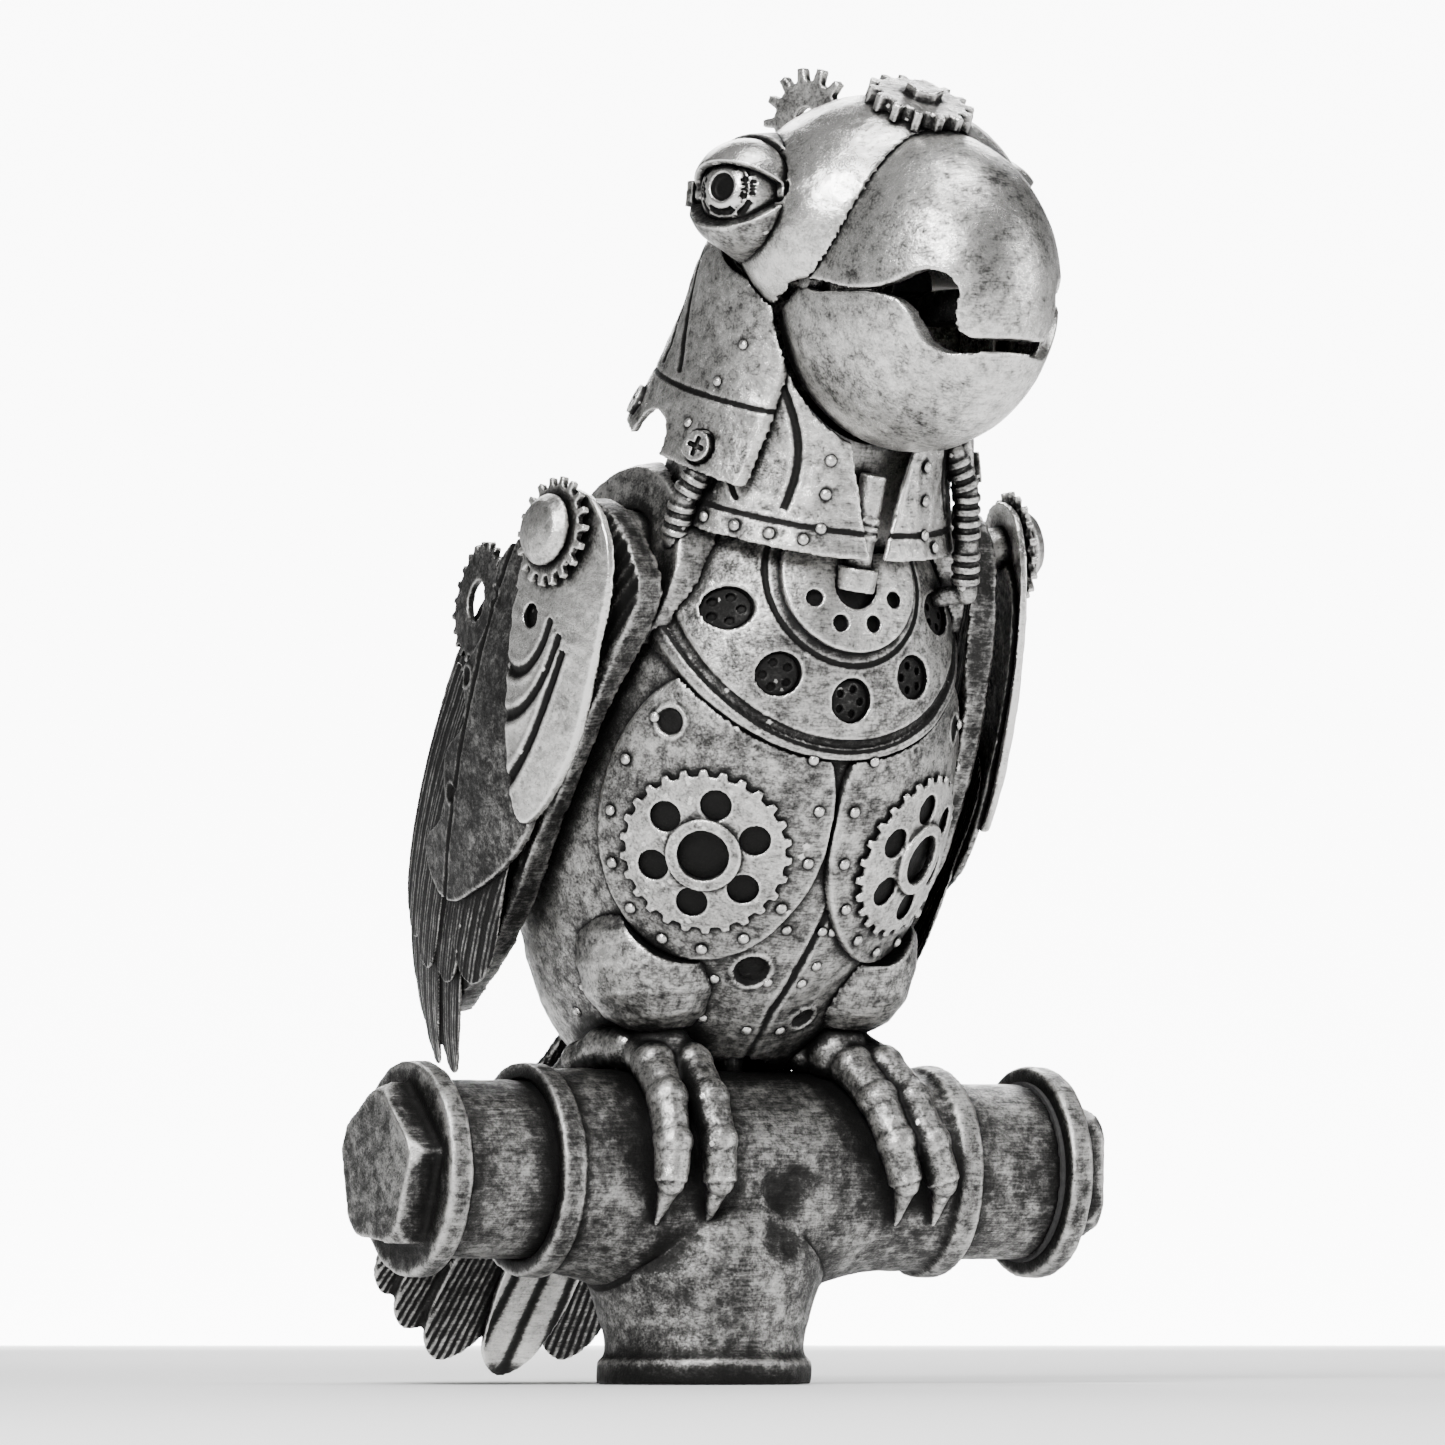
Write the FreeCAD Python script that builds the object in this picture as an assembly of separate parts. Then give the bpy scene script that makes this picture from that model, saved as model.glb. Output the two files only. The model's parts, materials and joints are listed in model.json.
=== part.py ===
"""Clockwork parrot perched on a capped pipe tee.

The tee stands on the collar of its lower branch, centred on the origin, with its run along X.
The parrot faces -Y. Its middle plane is x = BIRD_X, and its trunk leans forward over the run.
Millimetres, +Z up.
"""
import FreeCAD
import Part

import math
import os

V = FreeCAD.Vector

# ---- driving dimensions -------------------------------------------------------------------
BIRD_X = 6.5                    # middle plane of the bird and of the tee's run
RUN_Z = 51.0                    # height of the run's axis
RUN_HALF = 56.5                 # half the length of the tee's run
TEE_R = 24.0                    # outer radius of the tee's run and branch
RIM_R = 25.6                    # bead at each mouth of the tee
RIM_W = 6.2
SOCKET_R = 21.3                 # mouth that takes a 42.4 mm pipe
SOCKET_DEPTH = 22.0
BORE_R = 19.0
NIPPLE_R = 21.2                 # 42.4 mm outside diameter, nominal 1 1/4 inch pipe
NIPPLE_BORE_R = 18.0
NIPPLE_OUT = 22.6               # length of nipple seen between bead and flange
GASKET_T = 1.0
FLANGE_R = 25.6
FLANGE_T = 6.0
NUT_R = 20.7                    # corner radius of the five-sided nut
NUT_H = 8.0
SPIGOT_R = 17.9
SPIGOT_L = 12.0

LEAN = 28.9                     # forward lean of the trunk
TRUNK_C = V(BIRD_X, -2.0, 143.0)
TRUNK_A, TRUNK_B = 84.0, 50.0   # half length and half width of the trunk spheroid
SHELL_T = 2.2

WING_C = V(BIRD_X, 3.0, 150.0)
WING_A, WING_B = 133.0, 57.5    # spheroid that the inside of the folded wings follows
WING_BEHIND = 125.0             # half depth of the oval that it becomes behind
WING_PIVOT_S, WING_PIVOT_PHI = 58.0, 86.0

NECK_LOW = V(BIRD_X, -33.0, 192.0)
NECK_HIGH = V(9.0, -52.0, 256.0)
HEAD_YAW = 10.0                 # the head is turned towards +X
HEAD_C = V(10.0, -72.0, 272.0)
SKULL_R = 31.0
SKULL_HALF_WIDTH = 37.0
BEAK_FORWARD, BEAK_DROP = 13.5, 16.0
BEAK_R, BEAK_HALF_WIDTH = 38.0, 30.0
BEAK_T = 3.0
BEAK_GAP = 1.9                  # air behind the beak, which lets the jaw swing
JAW_F, JAW_H = -7.0, 1.5        # jaw hinge, forward and up from the beak's centre
EYE_SIDE, EYE_FORWARD, EYE_UP = 36.0, -6.0, 6.0
EYE_R, LID_T = 10.6, 2.4

PARTS = {}
CRUMB = 1.5                     # cubic mm; smaller loose bits than this are dropped


# ---- frames and solids --------------------------------------------------------------------
def frame(origin, z_axis, x_hint):
    """Placement whose local Z is z_axis and whose local X is as near x_hint as it can be."""
    z = V(z_axis).normalize()
    y = z.cross(x_hint).normalize()
    x = y.cross(z)
    m = FreeCAD.Matrix(x.x, y.x, z.x, origin.x, x.y, y.y, z.y, origin.y, x.z, y.z, z.z, origin.z, 0, 0, 0, 1)
    return FreeCAD.Placement(m)


def placed(shape, placement):
    moved = shape.copy()
    moved.Placement = placement.multiply(moved.Placement)
    return moved


def cylinder(start, end, radius):
    return Part.makeCylinder(radius, (end - start).Length, start, end - start)


def tube(start, end, radius, bore):
    along = (end - start).normalize()
    return cylinder(start, end, radius).cut(cylinder(start - along, end + along, bore))


def spheroid(half_length, radius):
    """Solid of revolution about local Z: an ellipse of half length half_length and half width radius."""
    if half_length >= radius:
        curve = Part.Ellipse(V(0, 0, half_length), V(radius, 0, 0), V())
        arc = Part.ArcOfEllipse(curve, 0, math.pi)
    else:
        curve = Part.Ellipse(V(radius, 0, 0), V(0, 0, half_length), V())
        arc = Part.ArcOfEllipse(curve, -math.pi / 2, math.pi / 2)
    edge = arc.toShape()
    wire = Part.Wire([edge, Part.makeLine(edge.Vertexes[-1].Point, edge.Vertexes[0].Point)])
    return Part.Face(wire).revolve(V(), V(0, 0, 1), 360)


def ellipsoid(placement, x_radius, y_radius, z_radius):
    stretch = FreeCAD.Matrix()
    stretch.A11, stretch.A22, stretch.A33 = x_radius, y_radius, z_radius
    return placed(Part.makeSphere(1).transformGeometry(stretch), placement)


def layer(placement, half_length, radius, inner, outer):
    """Spheroid skin between two offsets from a surface of the given half length and radius."""
    skin = spheroid(half_length + outer, radius + outer).cut(spheroid(half_length + inner, radius + inner))
    return placed(skin, placement)


def revolved(points, placement):
    """Solid of revolution about local Z of a closed outline of (radius, height) points."""
    corners = [V(r, 0, z) for r, z in points]
    face = Part.Face(Part.makePolygon(corners + corners[:1]))
    return placed(face.revolve(V(), V(0, 0, 1), 360), placement)


def prism(outline, placement, low, high):
    """Prism of a closed outline of (x, y) points in the placement's XY plane, from low to high."""
    corners = [V(x, y, low) for x, y in outline]
    face = Part.Face(Part.makePolygon(corners + corners[:1]))
    return placed(face.extrude(V(0, 0, high - low)), placement)


def smooth_prism(outline, placement, low, high):
    """Prism of the closed spline through the outline's points."""
    curve = Part.BSplineCurve()
    curve.interpolate(Points=[V(x, y, low) for x, y in outline], PeriodicFlag=True)
    face = Part.Face(Part.Wire([curve.toShape()]))
    return placed(face.extrude(V(0, 0, high - low)), placement)


def disc(placement, radius, low, high, x=0.0, y=0.0):
    return placed(Part.makeCylinder(radius, high - low, V(x, y, low)), placement)


def gear_outline(teeth, tip, root):
    """Corner points of a gear with trapezoid teeth."""
    points = []
    for i in range(teeth):
        for share, radius in ((0.0, root), (0.22, root), (0.34, tip), (0.66, tip), (0.78, root)):
            angle = 2 * math.pi * (i + share) / teeth
            points.append((radius * math.cos(angle), radius * math.sin(angle)))
    return points


def group(shapes):
    """Separate solids of one node."""
    solids = []
    for shape in shapes:
        solids += shape.Solids
    return Part.makeCompound(solids)


def add(name, shape):
    PARTS[name] = shape


def carve(name, others):
    """Cut a node where it would run into others, and drop the crumbs that this leaves."""
    shape = PARTS[name]
    for other in others:
        shape = shape.cut(PARTS[other])
    PARTS[name] = group([solid for solid in shape.Solids if solid.Volume > CRUMB])


def biggest(shape):
    return max(shape.Solids, key=lambda solid: solid.Volume)


# ---- the bird's own frames ----------------------------------------------------------------
LEAN_AXIS = V(0, -math.sin(math.radians(LEAN)), math.cos(math.radians(LEAN)))
TRUNK = frame(TRUNK_C, LEAN_AXIS, V(1, 0, 0))
WINGS = frame(WING_C, LEAN_AXIS, V(1, 0, 0))
HEAD_FORWARD = V(math.sin(math.radians(HEAD_YAW)), -math.cos(math.radians(HEAD_YAW)), 0)
HEAD_SIDE = HEAD_FORWARD.cross(V(0, 0, 1))      # towards the bird's right
BEAK_C = HEAD_C + HEAD_FORWARD * BEAK_FORWARD - V(0, 0, BEAK_DROP)


def on_spheroid(placement, half_length, radius, phi, s, height=0.0):
    """Frame on a spheroid at azimuth phi, in degrees from its front towards +X, and s along its axis.

    Local Z is the outward normal, local Y points up along the surface and local X sideways.
    """
    a, b = half_length + height, radius + height
    r = b * math.sqrt(max(0.0, 1 - (s / a) ** 2))
    side, front = math.sin(math.radians(phi)), -math.cos(math.radians(phi))
    point = V(r * side, r * front, s)
    normal = V(r * side / b ** 2, r * front / b ** 2, s / a ** 2).normalize()
    across = V(-front, side, 0)
    rotation = placement.Rotation
    return frame(placement.multVec(point), rotation.multVec(normal), rotation.multVec(across))


def on_trunk(phi, s, height=0.0):
    return on_spheroid(TRUNK, TRUNK_A, TRUNK_B, phi, s, height)


def on_wing(phi, s, height=0.0):
    return on_spheroid(WINGS, WING_A, WING_B, phi, s, height)


def trunk_layer(inner, outer):
    return layer(TRUNK, TRUNK_A, TRUNK_B, inner, outer)


def wing_layer(inner, outer, outline):
    """Wing skin inside an outline: round in front, and behind drawn out into a longer oval."""
    before = prism([(-200, -200), (200, -200), (200, 0), (-200, 0)], WINGS, -200, 200)
    behind = prism([(-200, 0), (200, 0), (200, 250), (-200, 250)], WINGS, -200, 200)
    front = layer(WINGS, WING_A, WING_B, inner, outer).common(outline).common(before)
    rear = ellipsoid(WINGS, WING_B + outer, WING_BEHIND + outer, WING_A + outer)
    rear = rear.cut(ellipsoid(WINGS, WING_B + inner, WING_BEHIND + inner, WING_A + inner))
    return front.fuse(rear.common(outline).common(behind))


def mirrored(shape):
    """The same shape on the other side of the bird's middle plane."""
    return shape.mirror(V(BIRD_X, 0, 0), V(1, 0, 0))


def skull_solid(grow):
    upright = frame(HEAD_C, V(0, 0, 1), HEAD_FORWARD)
    return ellipsoid(upright, SKULL_R + grow, SKULL_HALF_WIDTH + grow, SKULL_R + grow)


def trunk_solid(grow=0.0):
    return placed(spheroid(TRUNK_A + grow, TRUNK_B + grow), TRUNK)


HEAD = frame(HEAD_C, HEAD_SIDE, HEAD_FORWARD)      # local X forward, local Y up, local Z to the bird's right
BEAK = frame(BEAK_C, HEAD_SIDE, HEAD_FORWARD)
RUN_CLEAR = cylinder(V(BIRD_X - 120, 0, RUN_Z), V(BIRD_X + 120, 0, RUN_Z), TEE_R + 0.15)


# ---- pipe tee, nipples and caps -----------------------------------------------------------
def pipe_tee():
    left, right = BIRD_X - RUN_HALF, BIRD_X + RUN_HALF
    run = cylinder(V(left, 0, RUN_Z), V(right, 0, RUN_Z), TEE_R)
    branch = cylinder(V(0, 0, 0), V(0, 0, RUN_Z), TEE_R)
    body = run.fuse(branch)
    body = body.fuse(cylinder(V(left, 0, RUN_Z), V(left + RIM_W, 0, RUN_Z), RIM_R))
    body = body.fuse(cylinder(V(right - RIM_W, 0, RUN_Z), V(right, 0, RUN_Z), RIM_R))
    body = body.fuse(cylinder(V(0, 0, 0), V(0, 0, RIM_W), RIM_R + 0.2))
    body = body.cut(cylinder(V(left - 1, 0, RUN_Z), V(right + 1, 0, RUN_Z), BORE_R))
    body = body.cut(cylinder(V(0, 0, -1), V(0, 0, RUN_Z), BORE_R))
    body = body.cut(cylinder(V(left - 1, 0, RUN_Z), V(left + SOCKET_DEPTH, 0, RUN_Z), SOCKET_R))
    body = body.cut(cylinder(V(right - SOCKET_DEPTH, 0, RUN_Z), V(right + 1, 0, RUN_Z), SOCKET_R))
    body = body.cut(cylinder(V(0, 0, -1), V(0, 0, SOCKET_DEPTH), SOCKET_R))
    body = body.cut(cylinder(V(BIRD_X, 0, RUN_Z), V(BIRD_X, 0, RUN_Z + 40), MAST_R + 0.3))
    add("pipe_tee", body)


def pentagon(turn):
    return [(NUT_R * math.cos(math.radians(turn + 72 * i)), NUT_R * math.sin(math.radians(turn + 72 * i)))
            for i in range(5)]


def cap(name, side):
    """Closed cap with a five-sided nut, screwed into the end of its nipple. side is -1 or +1 along X."""
    mouth = BIRD_X + side * RUN_HALF
    end = mouth + side * NIPPLE_OUT
    inner = mouth - side * (SOCKET_DEPTH - 0.5)
    out = V(side, 0, 0)
    add("nipple_" + name, tube(V(min(inner, end), 0, RUN_Z), V(max(inner, end), 0, RUN_Z), NIPPLE_R, NIPPLE_BORE_R))
    seat = frame(V(end, 0, RUN_Z), out, V(0, side, 0))
    ring = disc(seat, NIPPLE_R + 0.6, 0, GASKET_T).cut(disc(seat, NIPPLE_BORE_R + 0.1, -1, GASKET_T + 1))
    add("gasket_" + name, ring)
    face = GASKET_T + 0.02
    flange = disc(seat, FLANGE_R, face, face + FLANGE_T)
    flange = flange.makeChamfer(0.7, [e for e in flange.Edges if len(e.Vertexes) == 1])
    nut = prism(pentagon(12.0 if side < 0 else 0.0), seat, face + FLANGE_T - 0.1, face + FLANGE_T + NUT_H)
    dome = placed(Part.makeCone(NUT_R + 2.6, NUT_R - 2.4, NUT_H, V(0, 0, face + FLANGE_T)), seat)
    nut = nut.common(dome.fuse(disc(seat, NUT_R + 2.6, face, face + FLANGE_T)))
    spigot = disc(seat, SPIGOT_R, -SPIGOT_L, face + 0.5)
    for groove in range(4):
        z = -SPIGOT_L + 1.5 + 2.4 * groove
        spigot = spigot.cut(disc(seat, SPIGOT_R + 1, z, z + 0.9).cut(disc(seat, SPIGOT_R - 0.7, z - 1, z + 2)))
    add("cap_" + name, flange.fuse(nut).fuse(spigot))


# ---- mast that holds the bird -------------------------------------------------------------
MAST_R = 3.6
MAST_NUT_R = 7.5


def mast():
    """Rod from inside the tee up through the hollow trunk, with a nut and washer under the tee's wall."""
    foot = V(BIRD_X, 0, RUN_Z + 6)
    rod = cylinder(foot, V(BIRD_X, 0, 176), MAST_R)
    collar = cylinder(V(BIRD_X, 0, RUN_Z + TEE_R + 4), V(BIRD_X, 0, RUN_Z + TEE_R + 10), 9)
    hexagon = [(MAST_NUT_R * math.cos(math.radians(60 * i)), MAST_NUT_R * math.sin(math.radians(60 * i)))
               for i in range(6)]
    low = RUN_Z + 9
    nut = prism(hexagon, frame(V(BIRD_X, 0, low), V(0, 0, 1), V(1, 0, 0)), 0, 6)
    add("mast", rod.fuse(collar).fuse(nut))


# ---- trunk --------------------------------------------------------------------------------
NECK = frame(NECK_LOW, NECK_HIGH - NECK_LOW, V(1, 0, 0))
NECK_RIM, NECK_TOP = 12.0, 82.0
NECK_OUTSIDE = [(36.8, NECK_RIM), (35.2, 17), (33.8, 24), (32.6, 34), (31.9, 44), (31.4, 56), (31.0, NECK_TOP)]


def inside_of(outline, thickness):
    return [(r - thickness, z) for r, z in outline]


def solid_under(outline, grow, placement):
    """Solid that fills a round shell out to its outline plus grow."""
    low, high = outline[0][1], outline[-1][1]
    return revolved([(0, low - grow)] + [(r + grow, z) for r, z in [(outline[0][0], low - grow)] + outline]
                    + [(0, high)], placement)


def round_shell(outline, thickness, placement):
    return revolved(outline + inside_of(outline, thickness)[::-1], placement)


def trunk_shell():
    shell = trunk_layer(-SHELL_T, 0)
    shell = shell.cut(RUN_CLEAR).cut(solid_under(NECK_OUTSIDE, 0.15, NECK))
    shell = shell.cut(cylinder(V(BIRD_X, 0, 60), V(BIRD_X, 0, 100), MAST_R + 6))
    add("trunk_shell", shell)


BREAST_PHI, BREAST_S, WHEEL_S = 33.0, 12.0, 3.5
BREAST_HALF_W, BREAST_HALF_H = 27.6, 37.0


def oval(half_w, half_h, x=0.0, y=0.0, count=24):
    return [(x + half_w * math.cos(2 * math.pi * i / count), y + half_h * math.sin(2 * math.pi * i / count))
            for i in range(count)]


def breast_plate():
    """Rounded plate over one side of the breast, with its wheel of holes; the right side, +X."""
    spot = on_trunk(BREAST_PHI, BREAST_S)
    plate = trunk_layer(0.1, 2.0).common(smooth_prism(oval(BREAST_HALF_W, BREAST_HALF_H), spot, -14, 12))
    spot = on_trunk(BREAST_PHI, WHEEL_S)
    wheel = prism(gear_outline(26, 20.6, 19.0), spot, -14, 12)
    for i in range(6):
        angle = math.radians(30 + 60 * i)
        wheel = wheel.cut(disc(spot, 3.7, -15, 13, 12.6 * math.cos(angle), 12.6 * math.sin(angle)))
    hub = trunk_layer(3.2, 4.3).common(disc(spot, 9.0, -14, 12).cut(disc(spot, 6.2, -15, 13)))
    wheel = trunk_layer(2.1, 3.2).common(wheel.cut(disc(spot, 6.2, -15, 13)))
    neck = solid_under(NECK_OUTSIDE, 0.15, NECK)
    plate = plate.cut(RUN_CLEAR).cut(neck).cut(bib_room()).cut(middle_gap())
    wheel = wheel.fuse(hub).cut(bib_room()).cut(middle_gap())
    return biggest(plate), biggest(wheel)


def middle_gap():
    """Thin slot along the bird's middle plane that keeps its two sides apart."""
    return Part.makeBox(0.6, 300, 300, V(BIRD_X - 0.3, -150, 0))


BIB = frame(V(BIRD_X, -61.0, 189.0), V(0, -1, 0.10), V(1, 0, 0))
BIB_R, BIB_CAP_R = 42.0, 17.5
BIB_HOLE_RING, BIB_HOLE_R = 28.3, 5.1
BIB_ANGLES = (-78, -39, 0, 39, 78)


def bib_room():
    return disc(BIB, BIB_R + 0.2, -40, 20)


def bib():
    neck = solid_under(NECK_OUTSIDE, 0.15, NECK)
    plate = trunk_layer(0.1, 2.6).common(disc(BIB, BIB_R, -40, 20)).cut(neck)
    groove = trunk_layer(1.6, 3).common(disc(BIB, BIB_R - 2.6, -40, 20).cut(disc(BIB, BIB_R - 4.6, -41, 21)))
    plate = plate.cut(groove)
    inserts = []
    for angle in BIB_ANGLES:
        x, y = BIB_HOLE_RING * math.sin(math.radians(angle)), -BIB_HOLE_RING * math.cos(math.radians(angle))
        plate = plate.cut(disc(BIB, BIB_HOLE_R, -40, 20, x, y))
        insert = trunk_layer(0.1, 1.1).common(disc(BIB, BIB_HOLE_R - 0.1, -40, 20, x, y))
        for spoke in range(5):
            turn = math.radians(72 * spoke + angle)
            insert = insert.cut(disc(BIB, 0.9, -40, 20, x + 3 * math.cos(turn), y + 3 * math.sin(turn)))
        inserts.append(insert)
    add("bib_plate", plate)
    cap_plate = trunk_layer(2.7, 4.6).common(disc(BIB, BIB_CAP_R, -30, 20)).cut(neck)
    for angle in (-66, -22, 22, 66):
        x, y = 11.5 * math.sin(math.radians(angle)), -11.5 * math.cos(math.radians(angle))
        cap_plate = cap_plate.cut(disc(BIB, 2.0, -30, 20, x, y))
    add("bib_cap", cap_plate.cut(disc(BIB, 5.3, -40, 20, 0, -2)))
    add("bib_inserts", group(inserts))


# ---- neck ---------------------------------------------------------------------------------
HOOD_LOW, HOOD_HIGH = NECK_LOW + V(0, 8.5, 0), NECK_HIGH + V(0, 1.5, 0)
HOOD = frame(HOOD_LOW, HOOD_HIGH - HOOD_LOW, V(1, 0, 0))
CAPE_OUTSIDE = [(42.5, 30), (40.6, 36), (38.6, 44), (36.6, 52), (35.2, 60), (34.2, 70), (32.8, 78), (30.0, 85),
                (24.0, 91), (16.0, 95)]


def neck_spot(phi, t, radius, axis=None):
    """Frame on the neck at azimuth phi from its front and height t, facing outward."""
    axis = axis or NECK
    side, front = math.sin(math.radians(phi)), -math.cos(math.radians(phi))
    rotation = axis.Rotation
    return frame(axis.multVec(V(radius * side, radius * front, t)), rotation.multVec(V(side, front, 0)),
                 rotation.multVec(V(-front, side, 0)))


def neck_radius(t):
    """Outside radius of the neck at height t."""
    for (r0, t0), (r1, t1) in zip(NECK_OUTSIDE, NECK_OUTSIDE[1:]):
        if t0 <= t <= t1:
            return r0 + (r1 - r0) * (t - t0) / (t1 - t0)
    return NECK_OUTSIDE[-1][0]


def beak_room():
    """Space that the beak and its swinging jaw keep clear."""
    return ball(BEAK_GAP)


def neck():
    skull = skull_solid(0.15)
    shell = round_shell(NECK_OUTSIDE, 2.0, NECK)
    gap = prism([(-1.8, -40), (1.8, -40), (1.8, -18), (8.6, 8), (9.2, 60), (-9.2, 60), (-8.6, 8), (-1.8, -18)],
                neck_spot(3, 30, 0), 5, 60)
    add("neck_shell", shell.cut(gap).cut(beak_room()).cut(skull))
    core = revolved([(16, 2), (24.5, 10), (24.5, NECK_TOP), (22, NECK_TOP), (22, 10), (16, 4.5)], NECK)
    add("neck_core", core.cut(beak_room()).cut(skull))
    cape = round_shell(CAPE_OUTSIDE, 2.2, HOOD)
    front = prism([(-80, 0), (80, 0), (80, 100), (-80, 100)], neck_spot(4, 0, 0), 21, 90)
    cape = cape.cut(front).cut(beak_room()).cut(skull).cut(solid_under(NECK_OUTSIDE, 0.15, NECK))
    for side in (-1, 1):
        cape = cape.cut(disc(eye_frame(side), 18.6, -22, 20))
    screws = []
    for phi in CAPE_NOTCHES:
        cape = cape.cut(disc(neck_spot(phi, 30, 0, HOOD), 8.0, 25, 80))
    for phi in CAPE_SCREWS:
        spot = neck_spot(phi, 35.5, 40.7, HOOD)
        spot = spot.multiply(FreeCAD.Placement(V(), FreeCAD.Rotation(V(1, 0, 0), -17)))
        cape = cape.cut(disc(spot, 3.9, -6, 6))
        head = disc(spot, 3.7, -3.0, 1.4)
        head = head.cut(prism([(-2.4, -0.6), (2.4, -0.6), (2.4, 0.6), (-2.4, 0.6)], spot, 0.2, 2))
        screws.append(head.cut(prism([(-0.6, -2.4), (0.6, -2.4), (0.6, 2.4), (-0.6, 2.4)], spot, 0.2, 2)))
    add("neck_cape", cape)
    return screws


CAPE_NOTCHES = (-92, -140, 92, 140)
CAPE_SCREWS = (-66, -116, -164, 66, 116, 164)


# ---- head ---------------------------------------------------------------------------------
LIP = [(-7, 1.6), (6, -0.6), (18, -1.6), (23, 0.2), (28, 2.0), (31.6, 0.4), (32.6, -4.4), (31.6, -9), (32.4, -14)]
JAW_LIP = [(-7, 0.4), (6, -1.9), (18, -3.0), (22.4, -5.0), (24.6, -9), (25.4, -13.6), (28.4, -17.0), (33, -16.6),
           (42, -15.6)]
JAW_BACK_CUT = (-42, -13)       # runs back and down from the hinge, so that the jaw can swing


def ball(grow):
    upright = frame(BEAK_C, V(0, 0, 1), HEAD_FORWARD * -1)
    return ellipsoid(upright, BEAK_R + grow, BEAK_HALF_WIDTH + grow, BEAK_R + grow)


def lip_prism(lip, rest):
    """Prism across the beak, bounded by a smooth lip line and then straight lines through the rest."""
    curve = Part.BSplineCurve()
    curve.interpolate(Points=[V(x, y, -50) for x, y in lip])
    corners = [V(x, y, -50) for x, y in [lip[-1]] + rest + [lip[0]]]
    face = Part.Face(Part.Wire([curve.toShape(), *Part.makePolygon(corners).Edges]))
    return placed(face.extrude(V(0, 0, 100)), BEAK)


def jaw_spot(side):
    """Point of the jaw hinge's axis, side millimetres from the bird's middle plane."""
    return BEAK.multVec(V(JAW_F, JAW_H, side))


def head():
    skin = skull_solid(0).cut(skull_solid(-2.4))
    lower_half = prism([(-80, JAW_H), (80, JAW_H), (80, -80), (-80, -80)], BEAK, -60, 60)
    skin = skin.cut(ball(0)).cut(ball(BEAK_GAP).common(lower_half))
    wall = ball(0).cut(ball(-BEAK_T))
    upper = wall.common(lip_prism(LIP, [(45, -12), (45, 60), (-60, 60), (-60, 1.6)]))
    pin = cylinder(jaw_spot(-28.6), jaw_spot(28.6), 2.2)
    upper = upper.cut(cylinder(jaw_spot(-40), jaw_spot(40), 2.2))
    lower = wall.common(lip_prism(JAW_LIP, [(60, -60), (-60, -60), JAW_BACK_CUT]))
    for side in (-1, 1):
        ear = prism([(-12, 1.5), (-7, 6.5), (-2, 1.5), (0, -16), (-14, -16)], BEAK, 22.4, 24.6)
        if side < 0:
            ear = prism([(-12, 1.5), (-7, 6.5), (-2, 1.5), (0, -16), (-14, -16)], BEAK, -24.6, -22.4)
        lower = lower.fuse(ear.common(ball(-0.3)))
    lower = lower.cut(cylinder(jaw_spot(-40), jaw_spot(40), 2.25))
    add("upper_beak", upper)
    add("lower_beak", lower)
    add("jaw_pin", pin)
    tongue = placed(spheroid(15, 8.0), frame(BEAK.multVec(V(17, -5.8, 0)), HEAD_FORWARD, HEAD_SIDE))
    root = prism([(-26, -3), (8, -8.5), (8, -2.8), (-26, 4)], BEAK, -5, 5)
    tongue = tongue.common(prism([(-60, -9), (60, -9), (60, -1.2), (-60, -1.2)], BEAK, -9, 9)).fuse(root)
    tongue = tongue.cut(cylinder(jaw_spot(-40), jaw_spot(40), 2.2))
    add("tongue", tongue.fuse(tongue_block()).cut(cylinder(jaw_spot(-40), jaw_spot(40), 2.2)))
    return skin


def tongue_block():
    """Boss round the jaw pin that carries the tongue."""
    return cylinder(jaw_spot(-6), jaw_spot(6), 5.0)


def eye_frame(side):
    """Frame of an eye; side is +1 for the bird's right, which is -X. Local Z looks out, local Y up."""
    tilt = math.radians(17)
    look = HEAD_SIDE * (side * math.cos(tilt)) + HEAD_FORWARD * math.sin(tilt) + V(0, 0, 0.10)
    return frame(HEAD.multVec(V(EYE_FORWARD, EYE_UP, side * EYE_SIDE)), look, HEAD_FORWARD * side)


def wedge(start, end):
    """Sector about local X between two angles from local Y towards local Z, in degrees."""
    reach = 40
    points = [V(-reach, 0, 0)]
    steps = 4
    for i in range(steps + 1):
        angle = math.radians(start + (end - start) * i / steps)
        points.append(V(-reach, reach * math.cos(angle), reach * math.sin(angle)))
    return Part.Face(Part.makePolygon(points + points[:1])).extrude(V(2 * reach, 0, 0))


def eye_pocket(side):
    """Room in the head for an eyeball, and for its lid, knuckles and pins as the lid swings."""
    sweep = Part.makeSphere(EYE_R + LID_T + 0.35).common(wedge(-1, 80).fuse(wedge(78, 130)))
    knuckles = Part.makeCylinder(3.3, 28.2, V(-14.1, 0, 0), V(1, 0, 0))
    pins = Part.makeCylinder(1.4, 32, V(-16, 0, 0), V(1, 0, 0))
    return placed(Part.makeSphere(EYE_R + 0.02).fuse(sweep).fuse(knuckles).fuse(pins), eye_frame(side))


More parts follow.
